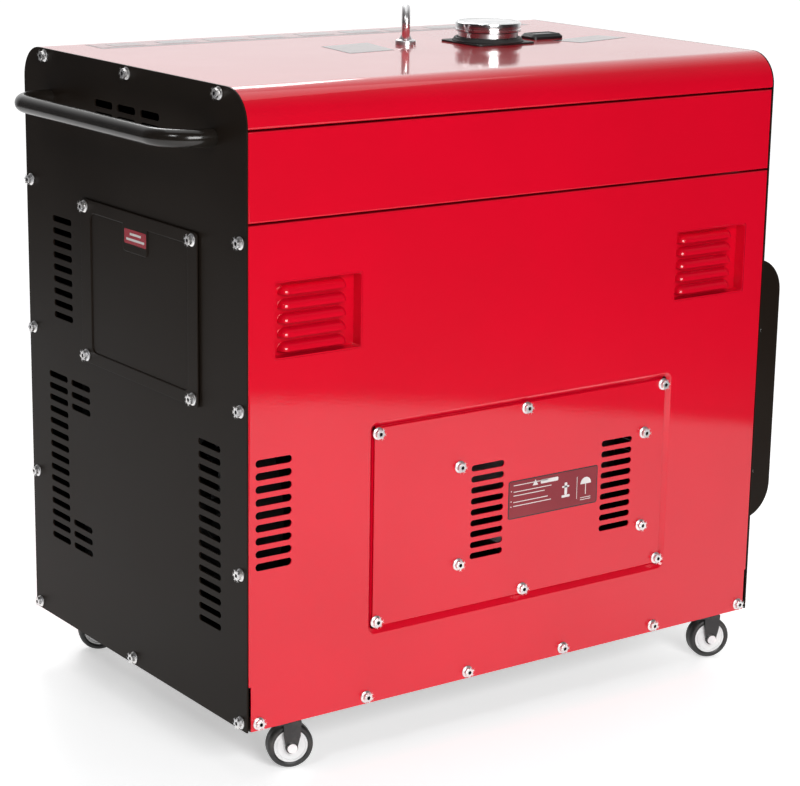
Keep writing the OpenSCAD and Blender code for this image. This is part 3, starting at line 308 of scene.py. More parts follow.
# %% Make the finishes
RED_COAT = {"colour": (0.68, 0.0012, 0.018), "other": (0.64, 0.001, 0.016), "rough": (0.28, 0.34), "scale": 4,
            "coat": 0.95, "coat_rough": 0.03, "specular": 0.14, "bump": 0.12, "depth": 0.0006, "fine": 420,
            "slow": 22, "slow_share": 0.6}
red_paint = finish("red_paint", **RED_COAT)
panel_black = finish("panel_black", (0.013, 0.009, 0.0065), (0.016, 0.0115, 0.0085), (0.30, 0.38),
                     scale=5, bump=0.25, depth=0.00012, fine=1500, slow=300, slow_share=0.3,
                     specular=0.06)
tube_black = finish("tube_black", (0.011, 0.009, 0.007), (0.014, 0.011, 0.009), (0.15, 0.22), scale=20,
                    bump=0.2, depth=0.0001, fine=1300, slow=200, specular=0.5)
zinc = finish("zinc", (0.90, 0.88, 0.86), (0.76, 0.76, 0.77), (0.30, 0.46), scale=90, metal=1.0, bump=0.3,
              depth=0.0002, fine=700, slow=180)
forged_chrome = finish("forged_chrome", (0.88, 0.88, 0.88), (0.74, 0.74, 0.75), (0.26, 0.40), scale=40,
                       metal=0.9, bump=0.15, depth=0.0003, fine=300, slow=90)
fork_black = finish("fork_black", (0.010, 0.010, 0.011), (0.018, 0.018, 0.018), (0.3, 0.42), scale=40,
                    bump=0.2, depth=0.0002, fine=700, slow=120, dusty=0.08)
rim_white = finish("rim_white", (0.80, 0.80, 0.80), (0.74, 0.74, 0.745), (0.25, 0.36), scale=30, bump=0.1,
                   depth=0.0002, dusty=0.1)
tyre_black = finish("tyre_black", (0.010, 0.010, 0.010), (0.018, 0.017, 0.017), (0.32, 0.5), scale=60,
                    bump=0.3, depth=0.0003, fine=800, slow=150, dusty=0.12)
tank_black = finish("tank_black", (0.02, 0.02, 0.021), (0.03, 0.03, 0.03), (0.4, 0.52), scale=14,
                    bump=0.2, dusty=0.1)
neck_steel = finish("neck_steel", (0.72, 0.72, 0.72), (0.60, 0.61, 0.62), (0.2, 0.32), scale=50,
                    metal=1.0, bump=0.1)
cap_chrome = finish("cap_chrome", (0.80, 0.80, 0.80), (0.68, 0.69, 0.70), (0.12, 0.22), scale=40,
                    metal=1.0, bump=0.1)
rubber = finish("rubber", (0.012, 0.012, 0.012), (0.02, 0.02, 0.019), (0.5, 0.65), scale=30, bump=0.3,
                dusty=0.05)
black_plastic = finish("black_plastic", (0.012, 0.012, 0.013), (0.018, 0.018, 0.019), (0.3, 0.4),
                       scale=20, bump=0.35, depth=0.0002, fine=1100, slow=260)
engine_casting = finish("engine_casting", (0.34, 0.35, 0.36), (0.26, 0.27, 0.28), (0.42, 0.6), scale=14,
                        metal=0.85, bump=0.6, depth=0.0005, fine=900, slow=160, dusty=0.15)
blower_black = finish("blower_black", (0.014, 0.014, 0.014), (0.025, 0.024, 0.023), (0.4, 0.5), scale=14,
                      bump=0.2, dusty=0.1)
fan_iron = finish("fan_iron", (0.22, 0.22, 0.225), (0.16, 0.16, 0.165), (0.45, 0.6), scale=30, metal=0.8,
                  bump=0.5)
crank_steel = finish("crank_steel", (0.56, 0.57, 0.58), (0.45, 0.46, 0.48), (0.2, 0.35), scale=30,
                     metal=1.0, bump=0.1)
exhaust_steel = finish("exhaust_steel", (0.34, 0.32, 0.30), (0.22, 0.18, 0.15), (0.38, 0.55), scale=12,
                       metal=0.9, bump=0.4, depth=0.0004, dusty=0.15)
toggle_white = finish("toggle_white", (0.78, 0.78, 0.75), (0.72, 0.72, 0.68), (0.3, 0.4), scale=60,
                      bump=0.1)
lid_blue = finish("lid_blue", (0.012, 0.055, 0.36), (0.010, 0.045, 0.30), (0.3, 0.4), scale=40, bump=0.3,
                  fine=1100)
foam_black = finish("foam_black", (0.004, 0.004, 0.004), (0.007, 0.007, 0.007), (0.8, 0.95), scale=60,
                    bump=0.6, depth=0.0006, fine=700, slow=250, specular=0.1)
earth_brass = finish("earth_brass", (0.70, 0.48, 0.16), (0.58, 0.38, 0.12), (0.22, 0.36), scale=60,
                     metal=1.0, bump=0.2)

# the service side's sheet is red outside and lined with black foam up to LINED_TO metres from the middle
LINED_TO = 0.2467
red_lined = finish("red_lined", **RED_COAT)
tree = red_lined.node_tree
shader = tree.nodes["Principled BSDF"]
paint = shader.inputs["Base Color"].links[0].from_socket
split = tree.nodes.new("ShaderNodeSeparateXYZ")
tree.links.new(tree.nodes["Texture Coordinate"].outputs["Object"], split.inputs[0])
inner = tree.nodes.new("ShaderNodeMath")
inner.operation = "LESS_THAN"
inner.inputs[1].default_value = LINED_TO
tree.links.new(split.outputs["Y"], inner.inputs[0])
blend = tree.nodes.new("ShaderNodeMix")
blend.data_type = "RGBA"
tree.links.new(inner.outputs[0], blend.inputs["Factor"])
tree.links.new(paint, blend.inputs[6])
blend.inputs[7].default_value = (0.005, 0.005, 0.005, 1)
tree.links.new(blend.outputs[2], shader.inputs["Base Color"])
print("made", len(bpy.data.materials), "finishes")

# %% Dress the CAD nodes
DRESS = [
    (red_paint, "side_panel_front upper_band_front upper_band_back lid louvre_boxes access_cover "
                "service_door"),
    (red_lined, "side_panel_back"),
    (panel_black, "base_tray end_panel_left end_panel_right filter_cover exhaust_hood lifting_frame"),
    (tube_black, "carry_handles"),
    (zinc, "end_panel_bolts side_panel_bolts caster_plates door_latch ignition_key "
           "axle_near_left axle_near_right axle_far_left axle_far_right"),
    (forged_chrome, "eye_bolt"),
    (fork_black, "fork_near_left fork_near_right fork_far_left fork_far_right"),
    (rim_white, "rim_near_left rim_near_right rim_far_left rim_far_right"),
    (tyre_black, "tyre_near_left tyre_near_right tyre_far_left tyre_far_right"),
    (tank_black, "fuel_tank"),
    (neck_steel, "filler_neck"),
    (cap_chrome, "fuel_cap"),
    (rubber, "filler_gasket cap_seal engine_mounts"),
    (black_plastic, "fuel_gauge control_panel socket_outlets air_filter battery"),
    (engine_casting, "engine_block cylinder_head alternator_housing"),
    (blower_black, "blower_housing"),
    (fan_iron, "flywheel_fan"),
    (crank_steel, "crankshaft_rotor"),
    (exhaust_steel, "muffler tail_pipe"),
    (toggle_white, "breaker_toggle"),
    (lid_blue, "outlet_lid_left outlet_lid_right"),
    (earth_brass, "earth_stud"),
]
dressed = 0
for material, names in DRESS:
    for node_name in names.split():
        mesh = nodes[node_name].data
        mesh.materials.clear()
        mesh.materials.append(material)
        dressed += 1
print("dressed", dressed, "of", len(nodes), "nodes")

# %% [markdown]
# ## Modelling by hand, written down
#
# The pieces below are made as they would be with the mouse: a primitive at its size and place, a few faces
# or edges picked by where they are, then bevel, inset, extrude or spin. These helpers pick, shape and hand
# over a piece. Sizes are in millimetres here, because that is how the machine is drawn.

# %% Helpers that start, pick and shape
def clear():
    """Leaves edit mode and deselects everything."""
    if bpy.context.object and bpy.context.object.mode != "OBJECT":
        bpy.ops.object.mode_set(mode="OBJECT")
    bpy.ops.object.select_all(action="DESELECT")


def only(obj):
    """Makes obj the only selected object."""
    clear()
    obj.select_set(True)
    bpy.context.view_layer.objects.active = obj


def settle(obj):
    """Moves an object's place, turn and scale into its mesh."""
    only(obj)
    bpy.ops.object.transform_apply(location=True, rotation=True, scale=True)
    return obj


def block(name, low, high):
    """A box from its low to its high corner."""
    clear()
    middle = [(a + b) / 2 * MM for a, b in zip(low, high)]
    size = [(b - a) * MM for a, b in zip(low, high)]
    bpy.ops.mesh.primitive_cube_add(size=1, location=middle, scale=size)
    bpy.context.object.name = name
    return settle(bpy.context.object)


def rod(place, radius, depth, sides):
    """An upright round bar with its middle at place."""
    clear()
    bpy.ops.mesh.primitive_cylinder_add(vertices=sides, radius=radius * MM, depth=depth * MM,
                                        location=[v * MM for v in place])
    return settle(bpy.context.object)


def stand(obj, place):
    """Moves obj by the matrix place, and keeps the move in its mesh."""
    obj.matrix_world = place
    return settle(obj)


def pick(obj, kind, test):
    """Selects, in edit mode, the faces, edges or vertices that pass test; returns how many there are."""
    if obj.mode != "EDIT":
        only(obj)
        bpy.ops.object.mode_set(mode="EDIT")
    bpy.ops.mesh.select_mode(type=kind)
    bpy.ops.mesh.select_all(action="DESELECT")
    mesh = bmesh.from_edit_mesh(obj.data)
    found = [x for x in {"VERT": mesh.verts, "EDGE": mesh.edges, "FACE": mesh.faces}[kind] if test(x)]
    for x in found:
        x.select_set(True)
    mesh.select_flush_mode()
    bmesh.update_edit_mesh(obj.data)
    return len(found)


def along(axis):
    """A test for edges that run along an axis."""
    def test(edge):
        step = edge.verts[1].co - edge.verts[0].co
        return abs(step[axis]) > 0.999 * step.length
    return test


def looks(axis, sign):
    """A test for faces that look along an axis."""
    return lambda face: face.normal[axis] * sign > 0.99


def near(value, goal, slack=0.02):
    """Whether a place in metres is at goal millimetres."""
    return abs(value / MM - goal) < slack


def round_edges(obj, test, width, steps=3):
    """Bevels the picked edges."""
    pick(obj, "EDGE", test)
    bpy.ops.mesh.bevel(offset=width * MM, segments=steps, affect="EDGES")
    bpy.ops.object.mode_set(mode="OBJECT")
    return obj


def delete_faces(obj, test):
    """Deletes the picked faces."""
    pick(obj, "FACE", test)
    bpy.ops.mesh.delete(type="FACE")
    bpy.ops.object.mode_set(mode="OBJECT")
    return obj


def modify(obj, kind, **values):
    """Adds a modifier, sets it and applies it."""
    only(obj)
    modifier = obj.modifiers.new(kind.lower(), kind)
    for key, value in values.items():
        setattr(modifier, key, value)
    bpy.ops.object.modifier_apply(modifier=modifier.name)
    return obj


def cut(obj, *cutters):
    """Cuts the cutters out of obj and removes them."""
    for cutter in cutters:
        modify(obj, "BOOLEAN", object=cutter, operation="DIFFERENCE", solver="EXACT")
        bpy.data.objects.remove(cutter)
    return obj


def twin_of(obj):
    """A copy of obj with a mesh of its own."""
    twin = obj.copy()
    twin.data = obj.data.copy()
    bpy.context.scene.collection.objects.link(twin)
    return twin


def copies(obj, places, name):
    """Copies obj to each place (a matrix), joins the copies into one piece, and removes obj."""
    made = []
    for place in places:
        twin = twin_of(obj)
        twin.matrix_world = place
        made.append(twin)
    bpy.data.objects.remove(obj)
    return joined(made, name)


def joined(parts, name):
    """Joins objects into one, named name, with its place in its mesh."""
    clear()
    for part in parts:
        part.select_set(True)
    bpy.context.view_layer.objects.active = parts[0]
    bpy.ops.object.transform_apply(location=True, rotation=True, scale=True)
    if len(parts) > 1:
        bpy.ops.object.join()
    bpy.context.object.name = name
    return bpy.context.object


def face_out():
    """Turns all faces of the shape in edit mode outward, and leaves edit mode."""
    bpy.ops.mesh.select_all(action="SELECT")
    bpy.ops.mesh.normals_make_consistent(inside=False)
    bpy.ops.object.mode_set(mode="OBJECT")


def turned(name, rings, sides=48):
    """A shape turned about Z: each ring is (radius, height), and a radius of 0 closes the end."""
    clear()
    bpy.ops.mesh.primitive_circle_add(vertices=sides, radius=rings[0][0] * MM,
                                      location=(0, 0, rings[0][1] * MM))
    obj = bpy.context.object
    obj.name = name
    settle(obj)
    bpy.ops.object.mode_set(mode="EDIT")
    bpy.ops.mesh.select_all(action="SELECT")
    radius, height = rings[0]
    for new_radius, new_height in rings[1:]:
        step = {"value": (0, 0, (new_height - height) * MM)}
        bpy.ops.mesh.extrude_edges_move(TRANSFORM_OT_translate=step)
        if new_radius == 0:
            bpy.ops.mesh.merge(type="CENTER")
            break
        bpy.ops.transform.resize(value=(new_radius / radius, new_radius / radius, 1))
        radius, height = new_radius, new_height
    face_out()
    return obj


def close_ends(obj):
    """Fills the open rims of a shape with faces."""
    pick(obj, "EDGE", lambda e: e.is_boundary)
    bpy.ops.mesh.fill_holes(sides=0)
    face_out()
    return obj


def weld(obj):
    """Joins up a turned shape that ends where it starts."""
    pick(obj, "VERT", lambda v: True)
    bpy.ops.mesh.remove_doubles(threshold=0.01 * MM)
    face_out()
    return obj


def facing(place, axis, turn=0.0):
    """The matrix that stands something drawn along +Z at place (mm), looking along axis, turned about it."""
    stand = Vector(axis).to_track_quat("Z", "Y").to_matrix().to_4x4()
    return Matrix.Translation(Vector(place) * MM) @ stand @ Matrix.Rotation(turn, 4, "Z")


def hand_over(obj, body, material, replaced="", angle=35):
    """Smooths a piece, gives it its finish, and lets it ride on its body."""
    only(obj)
    bpy.ops.object.shade_smooth_by_angle(angle=math.radians(angle))
    modify(obj, "WEIGHTED_NORMAL", keep_sharp=True)
    obj.data.materials.clear()
    obj.data.materials.append(material)
    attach(obj, body)
    if replaced:
        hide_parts(*replaced.split())
    print(f"{obj.name}: {len(obj.data.polygons)} faces on {body}")
    return obj


def line_inside(obj):
    """Gives the faces that look into the cabinet the black foam of its lining."""
    middle = Vector((0, 0, (cad_low[2] + cad_high[2]) / 2))
    obj.data.materials.append(foam_black)
    pick(obj, "FACE", lambda f: (middle - f.calc_center_median()).normalized().dot(f.normal) > 0.3)
    obj.active_material_index = 1
    bpy.ops.object.material_slot_assign()
    bpy.ops.object.mode_set(mode="OBJECT")
    obj.active_material_index = 0


def plate(name, axis, low, high, corner, rim=0.0, steps=5):
    """A flat plate with round corners; axis is the one it faces, corner the radius, rim its edge's bevel."""
    obj = block(name, low, high)
    round_edges(obj, along(axis), corner, steps)
    if rim:
        flat = lambda face: abs(face.normal[axis]) > 0.99
        round_edges(obj, lambda e: len({flat(f) for f in e.link_faces}) == 2, rim, 2)
    return obj


def slot_cutters(name, axis, places, width, height, deep):
    """Cutters for vent slots with round ends; places are centres in mm, deep the span along axis."""
    x, y, z = places[0]
    side = 1 - axis
    low, high = [x, y, z - height / 2], [x, y, z + height / 2]
    low[side], high[side] = places[0][side] - width / 2, places[0][side] + width / 2
    low[axis], high[axis] = deep
    first = block(name, low, high)
    round_edges(first, along(axis), height / 2 - 0.01, 6)
    moves = [Matrix.Translation((Vector(p) - Vector(places[0])) * MM) for p in places]
    return copies(first, moves, name)


print("helpers ready")

# %% [markdown]
# ## Flange bolts
#
# The panels are held by small zinc-plated bolts with a wide washer face. One bolt is modelled: a turned
# flange, and a six-sided head with softened edges and a shallow dish. It is then copied to every place
# where the CAD has a bolt.

# %% Model one flange bolt and copy it to its places
HALF_L, HALF_W, LOW, TOP = 370, 248, 61, 759  # the cabinet: half length, half width, underside, roof
EDGE = 8.5  # from a sheet's edge to its bolts
ACCESS_X, ACCESS_Z = 7.8, LOW + 203.5  # the middle of the access cover
FX, FY, FZ = -HALF_L - 3, -22.5, LOW + 440  # the middle of the filter cover's outer face
HOOD_Z = LOW + 107  # the height that the hood's bolts count from

flange = turned("flange", [(7.1, 0.0), (7.1, 0.9), (6.7, 1.4), (5.4, 2.1), (4.2, 2.3), (0, 2.3)], 24)
close_ends(flange)
head = rod((0, 0, 2.8), 5.6, 5.6, 6)
round_edges(head, along(2), 0.5, 2)
pick(head, "FACE", looks(2, 1))
bpy.ops.mesh.inset(thickness=0.7 * MM, depth=0.5 * MM)
bpy.ops.mesh.inset(thickness=1.3 * MM, depth=0.0)
bpy.ops.mesh.inset(thickness=0.8 * MM, depth=-0.06 * MM)
bpy.ops.object.mode_set(mode="OBJECT")
bolt = joined([flange, head], "bolt")

end_places, side_places = [], []
for s in (-1, 1):
    for z in (EDGE, 178, 359, 539):
        end_places += [facing((s * HALF_L, y, LOW + z), (s, 0, 0), 0.4 * z) for y in (-236, 236)]
    end_places += [facing((s * HALF_L, y, TOP - EDGE), (s, 0, 0), 0.01 * y) for y in (-194.5, 0, 194.5)]
    end_places.append(facing((s * HALF_L, 0, LOW + EDGE), (s, 0, 0), 0.2))
    side_places += [facing((-355 + 142 * i, s * HALF_W, LOW + EDGE), (0, s, 0), 0.7 * i) for i in range(6)]
end_places += [facing((FX, FY + y, FZ + z), (-1, 0, 0), y + z)
               for y in (-120.25, 120.25) for z in (-87.5, 87.5)]
end_places += [facing((HALF_L + 1.5, y, HOOD_Z + z), (1, 0, 0), 0.3 * y)
               for y in (-178, 0, 178) for z in (-8, 342)]
side_places += [facing((ACCESS_X + x, -HALF_W + 2, ACCESS_Z + z), (0, -1, 0), x * z)
                for x in (-207.5, 0, 207.5) for z in (-109, 109)]
side_places += [facing((ACCESS_X + x, -HALF_W + 2, ACCESS_Z + z), (0, -1, 0), x + z)
                for x in (-94.2, 180.2) for z in (-62.4, 53.2)]
spare = twin_of(bolt)
hand_over(copies(bolt, end_places, "end_bolts"), "cabinet", zinc, "end_panel_bolts")
hand_over(copies(spare, side_places, "side_bolts"), "cabinet", zinc, "side_panel_bolts")

# %% [markdown]
# ## The folded red sheets
#
# Sheet metal is never sharp where it is folded. The lid, the two bands and the front sheet are made as
# boxes whose folds are bevelled, whose open sides are deleted, and which get the sheet's thickness from a
# Solidify modifier. Holes are cut last, when the shell is closed.

# %% Fold the lid
SHEET, FOLD = 1.5, 2.4  # the sheet's thickness and the bevel of its folds
FOLD_ANGLE = 28  # in degrees: the shading keeps sharper edges
SHEET_HALF, LID_LOW = 368, 718
CAP, EYE, GAUGE = (137, 11), (33, 38), (227, 18)

lid = block("lid_sheet", (-SHEET_HALF, -HALF_W, LID_LOW), (SHEET_HALF, HALF_W, TOP))
round_edges(lid, lambda e: along(0)(e) and e.verts[0].co.z > 0.75, 38, 14)
pick(lid, "FACE", looks(2, -1))
bpy.ops.mesh.inset(thickness=14 * MM, depth=0)
bpy.ops.mesh.delete(type="FACE")
bpy.ops.object.mode_set(mode="OBJECT")
delete_faces(lid, lambda f: abs(f.normal.x) > 0.99)
delete_faces(lid, lambda f: f.normal.z < -0.99 and abs(f.calc_center_median().y) < 0.23)
round_edges(lid, lambda e: along(0)(e) and near(e.verts[0].co.z, LID_LOW)
            and near(abs(e.verts[0].co.y), HALF_W), FOLD, 3)
modify(lid, "SOLIDIFY", thickness=SHEET * MM, offset=-1, use_even_offset=True)
for (x, y), radius in ((CAP, 32), (EYE, 6), (GAUGE, 11)):
    cut(lid, rod((x, y, TOP), radius, 30, 48))
line_inside(hand_over(lid, "cabinet", red_paint, "lid", FOLD_ANGLE))


# %% Fold the bands and the front sheet
RETURN = 18  # how far a fold reaches into the cabinet
THROUGH = (-260, -240)  # the span of a cutter that passes the front sheet
LOUVRES_X, LOUVRES_Z = 280, LOW + 454.5


def folded_sheet(name, side, z0, z1, low_fold, high_fold):
    """A side's sheet from z0 to z1, folded in at both ends, and above and below where that is asked for."""
    near_y, deep_y = side * HALF_W, side * (HALF_W - RETURN)
    obj = block(name, (-SHEET_HALF, min(near_y, deep_y), z0), (SHEET_HALF, max(near_y, deep_y), z1))
    folds = [z for z, folded in ((z0, low_fold), (z1, high_fold)) if folded]
    delete_faces(obj, lambda f: near(f.calc_center_median().y, deep_y)
                 or (abs(f.normal.z) > 0.99 and not any(near(f.calc_center_median().z, z) for z in folds)))
    on_face = lambda e: near(e.verts[0].co.y, near_y) and near(e.verts[1].co.y, near_y)
    folded_here = lambda e: along(2)(e) or any(near(e.verts[0].co.z, z) for z in folds)
    round_edges(obj, lambda e: on_face(e) and folded_here(e), FOLD, 3)
    return modify(obj, "SOLIDIFY", thickness=SHEET * MM, offset=-1, use_even_offset=True)


for side, end in ((-1, "front"), (1, "back")):
    band = folded_sheet("band_" + end, side, 621, 716, True, True)
    line_inside(hand_over(band, "cabinet", red_paint, "upper_band_" + end, FOLD_ANGLE))

front = folded_sheet("front_sheet", -1, LOW, 619, False, True)
PRESSED = [(ACCESS_X + s * 219.5, ACCESS_Z + s * 123) for s in (-1, 1)]  # two corners of the pressed frame
holes = [plate("hole", 1, (x - 56.3, THROUGH[0], LOUVRES_Z - 42.15),
               (x + 56.3, THROUGH[1], LOUVRES_Z + 42.15), 3) for x in (-LOUVRES_X, LOUVRES_X)]
(x0, z0), (x1, z1) = PRESSED
holes.append(plate("hole", 1, (x0, THROUGH[0], z0), (x1, THROUGH[1], z1), 10))
cut(front, joined(holes, "holes"))
corner_vent = [(-336, -244, LOW + 302.3 - 14.4 * i) for i in range(9)]
cut(front, slot_cutters("slots", 1, corner_vent, 46, 8.5, THROUGH))
notches = [block("notch", (x, THROUGH[0], 55), (x + 4.5, -218, LOW + 52)) for x in (-369, 364.5)]
cut(front, joined(notches, "notches"))
print("front sheet cut:", len(front.data.polygons), "faces")

# %% [markdown]
# ## The pressed frame and its cover
#
# The access cover lies in a frame that is pressed 5 mm into the front sheet. The frame starts as a rounded
# plate whose front face is inset and pushed back twice, which gives the slope and the ledge; the middle is
# then removed. It joins the front sheet, so that the paint runs over both.

# %% Press the frame and lay the cover in it
frame_ring = plate("frame_ring", 1, (x0, -HALF_W, z0), (x1, THROUGH[1], z1), 10, steps=8)
delete_faces(frame_ring, lambda f: not f.normal.y < -0.99)
pick(frame_ring, "FACE", lambda f: True)
bpy.ops.mesh.inset(thickness=0.8 * MM, depth=-0.15 * MM)
bpy.ops.mesh.inset(thickness=5.4 * MM, depth=-4.4 * MM)
bpy.ops.mesh.inset(thickness=0.8 * MM, depth=-0.45 * MM)
bpy.ops.mesh.inset(thickness=15 * MM, depth=0)
bpy.ops.mesh.delete(type="FACE")
bpy.ops.object.mode_set(mode="OBJECT")
print("pressed the frame:", len(frame_ring.data.polygons), "faces")
modify(frame_ring, "SOLIDIFY", thickness=SHEET * MM, offset=-1, use_even_offset=True)
front = joined([front, frame_ring], "front_sheet")
line_inside(hand_over(front, "cabinet", red_paint, "side_panel_front", FOLD_ANGLE))

COVER_Y = -HALF_W + 2
cover = plate("cover_sheet", 1, (ACCESS_X - 211.5, COVER_Y, ACCESS_Z - 115),
              (ACCESS_X + 211.5, COVER_Y + SHEET, ACCESS_Z + 115), 8, 0.6)
cover_vents = [(ACCESS_X + x, -246, LOW + 251.5 - 13.05 * i) for x in (-53.7, 138.6) for i in range(9)]
cut(cover, slot_cutters("slots", 1, cover_vents, 47, 7.5, (-260, -235)))
hand_over(cover, "cabinet", red_paint, "access_cover", FOLD_ANGLE)

# %% [markdown]
# ## The filler cap and its gasket
#
# The cap is a turned and polished pressing: a slightly domed top, a rounded shoulder, a groove round its side
# and a hollow inside. The rubber gasket under it has a lip, and a nearly square plate whose corners show.

# %% Turn the cap and mould the gasket
CAP_X, CAP_Y = CAP
CAP_LOW, CAP_TOP = TOP + 13.7, TOP + 26.2
cap = turned("cap", [
    (33, CAP_LOW + 9.3), (33, CAP_LOW), (39.2, CAP_LOW), (40, CAP_LOW + 0.8), (40, CAP_LOW + 3.2),
    (39.1, CAP_LOW + 4.0), (39.1, CAP_LOW + 4.6), (40, CAP_LOW + 5.4), (40, CAP_TOP - 2.6),
    (39.6, CAP_TOP - 1.5), (38.4, CAP_TOP - 0.7), (36.5, CAP_TOP - 0.5), (35.6, CAP_TOP - 0.9),
    (24, CAP_TOP - 0.35), (12, CAP_TOP - 0.08), (0, CAP_TOP)], 96)
pick(cap, "EDGE", lambda e: e.is_boundary)
bpy.ops.mesh.fill_holes(sides=0)
bpy.ops.object.mode_set(mode="OBJECT")
stand(cap, Matrix.Translation((CAP_X * MM, CAP_Y * MM, 0)))
hand_over(cap, "fuel_cap", cap_chrome, "fuel_cap", 32)

lip = turned("lip", [
    (30.5, TOP + 0.2), (41, TOP + 0.2), (41.5, TOP + 1.5), (43.4, TOP + 2.2), (43.6, TOP + 3.2),
    (42.2, TOP + 4.4), (41.2, TOP + 6.4), (40.2, TOP + 7.0), (37.4, TOP + 7.0), (37.0, TOP + 6.0),
    (30.5, TOP + 6.0), (30.5, TOP + 0.2)], 96)
weld(stand(lip, Matrix.Translation((CAP_X * MM, CAP_Y * MM, 0))))
gasket_plate = plate("gasket_plate", 2, (CAP_X - 44, CAP_Y - 40, TOP), (CAP_X + 44, CAP_Y + 40, TOP + 2.2),
                     7, 0.6)
cut(gasket_plate, rod((CAP_X, CAP_Y, TOP), 32, 20, 64))
hand_over(joined([lip, gasket_plate], "gasket"), "cabinet", rubber, "filler_gasket", 32)

# %% [markdown]
# ## The lifting eye
#
# A forged and plated eye bolt: a ring of round bar that thickens into a conical shoulder, on a round collar.
# The ring is a torus, the shoulder and the collar are turned, and the stud is a rounded bar.

# %% Forge the lifting eye
EYE_R, EYE_TURN = 17.5, math.radians(55)
clear()
bpy.ops.mesh.primitive_torus_add(major_segments=64, minor_segments=24, major_radius=EYE_R * MM,
                                 minor_radius=5 * MM, location=(0, 0, 0))
looks_along = (math.sin(EYE_TURN), -math.cos(EYE_TURN), 0)
eye_ring = stand(bpy.context.object, facing((*EYE, TOP + 8 + EYE_R), looks_along))
shank = turned("shank", [
    (12.5, TOP), (12.5, TOP + 3.6), (12.1, TOP + 4.6), (11.0, TOP + 5.4), (8.2, TOP + 6.2),
    (6.6, TOP + 8.6), (5.6, TOP + 11), (0, TOP + 12)], 48)
close_ends(shank)
stand(shank, Matrix.Translation((EYE[0] * MM, EYE[1] * MM, 0)))
stud = block("stud", (EYE[0] - 4, EYE[1] - 4, TOP - 40), (EYE[0] + 4, EYE[1] + 4, TOP))
round_edges(stud, along(2), 2.5, 4)
lifting_eye = joined([eye_ring, shank, stud], "lifting_eye")
hand_over(lifting_eye, "cabinet", forged_chrome, "eye_bolt", 40)

# %% [markdown]
# ## Printed plates and films
#
# A film sticker is a plate a tenth of a millimetre thick. Its print is made of plates of its own: thin bars
# of another colour, in a generic layout with no lettering. A printed line is a bar that stands a hair above
# the film, so nothing flickers.

# %% Finishes for the films
film_dark = finish("film_dark", (0.10, 0.012, 0.018), (0.12, 0.016, 0.022), (0.16, 0.22), scale=10,
                   coat=0.6, bump=0.05)
film_red = finish("film_red", (0.42, 0.02, 0.04), (0.38, 0.018, 0.035), (0.18, 0.24), scale=10, coat=0.6,
                  bump=0.05)
film_rose = finish("film_rose", (0.24, 0.012, 0.022), (0.21, 0.010, 0.02), (0.3, 0.4), scale=10, bump=0.05)
film_grey = finish("film_grey", (0.20, 0.20, 0.21), (0.17, 0.17, 0.18), (0.2, 0.28), scale=10, coat=0.5,
                   bump=0.05)
ink_white = finish("ink_white", (0.75, 0.72, 0.71), (0.70, 0.67, 0.66), (0.3, 0.4), scale=40, bump=0.05)
ink_black = finish("ink_black", (0.012, 0.012, 0.014), (0.016, 0.016, 0.018), (0.25, 0.3), scale=40,
                   bump=0.05)
print("made the film finishes")

# %% The label on the access cover
LABEL_X, LABEL_Z = (-15.5, 118), (LOW + 181.3, LOW + 227.5)
MARGIN, LINE = 1.3, 0.9
FACE_Y = COVER_Y - 0.1


def film(name, x0, z0, x1, z1, lift, corner=2.0):
    """An upright film on the access cover, lift millimetres in front of it."""
    return plate(name, 1, (x0, FACE_Y - lift, z0), (x1, FACE_Y - lift + 0.1, z1), corner, steps=4)


def mark(x0, z0, x1, z1, corner):
    """A printed bar on the label; its heights count from the label's lower edge."""
    return film("mark", x0, LABEL_Z[0] + z0, x1, LABEL_Z[0] + z1, 0.2, corner)


border = film("label_border", LABEL_X[0], LABEL_Z[0], LABEL_X[1], LABEL_Z[1], 0.0, 3)
hand_over(border, "cabinet", ink_black)
ground = film("label_ground", LABEL_X[0] + MARGIN, LABEL_Z[0] + MARGIN, LABEL_X[1] - MARGIN,
              LABEL_Z[1] - MARGIN, 0.1, 2)
hand_over(ground, "cabinet", film_rose)
marks = []
for i in range(5):
    z = 15 + 6.2 * i - (1.6 if i % 2 else 0)
    marks.append(mark(-8, z, 48 - 5 * (i % 3), z + LINE, LINE * 0.45))
marks += [mark(-12, z, -10.6, z + 1.4, 0.6) for z in (14.5, 20.8, 33)]
marks.append(mark(86.5, 9, 87.1, 36, 0.2))
# a plain triangle and a bar make the heading
heading = rod((0, 0, 0), 4.6, 0.1, 3)
marks.append(stand(heading, facing((24, FACE_Y - 0.15, LABEL_Z[0] + 38.5), (0, -1, 0))))
marks.append(mark(32, 36.6, 58, 41.2, 1))
# two pictures of plain shapes: a post with a crossbar on a foot, and half a disc on a stick
marks += [mark(64, 14, 76, 17, 0.5), mark(68, 17, 72, 32, 1.5), mark(64.5, 26, 75, 28.2, 0.8)]
dome = turned("dome", [(8, 0), (8, 0.1), (0, 0.1)], 32)
stand(dome, facing((100, FACE_Y - 0.2, LABEL_Z[0] + 26), (0, -1, 0)))
pick(dome, "VERT", lambda v: True)
bpy.ops.mesh.bisect(plane_co=(0, 0, (LABEL_Z[0] + 26) * MM), plane_no=(0, 0, 1), clear_inner=True,
                    use_fill=True)
bpy.ops.object.mode_set(mode="OBJECT")
marks.append(dome)
marks.append(mark(99.5, 13, 100.5, 26, 0.4))
marks += [mark(92, 9 - 2.4 * i, 108, 9.7 - 2.4 * i, 0.3) for i in range(2)]
hand_over(joined(marks, "label_print"), "cabinet", ink_white)

# %% The films on the roof
EDGE_LIFT, FILM_LIFT, MARK_LIFT = 0.12, 0.24, 0.36


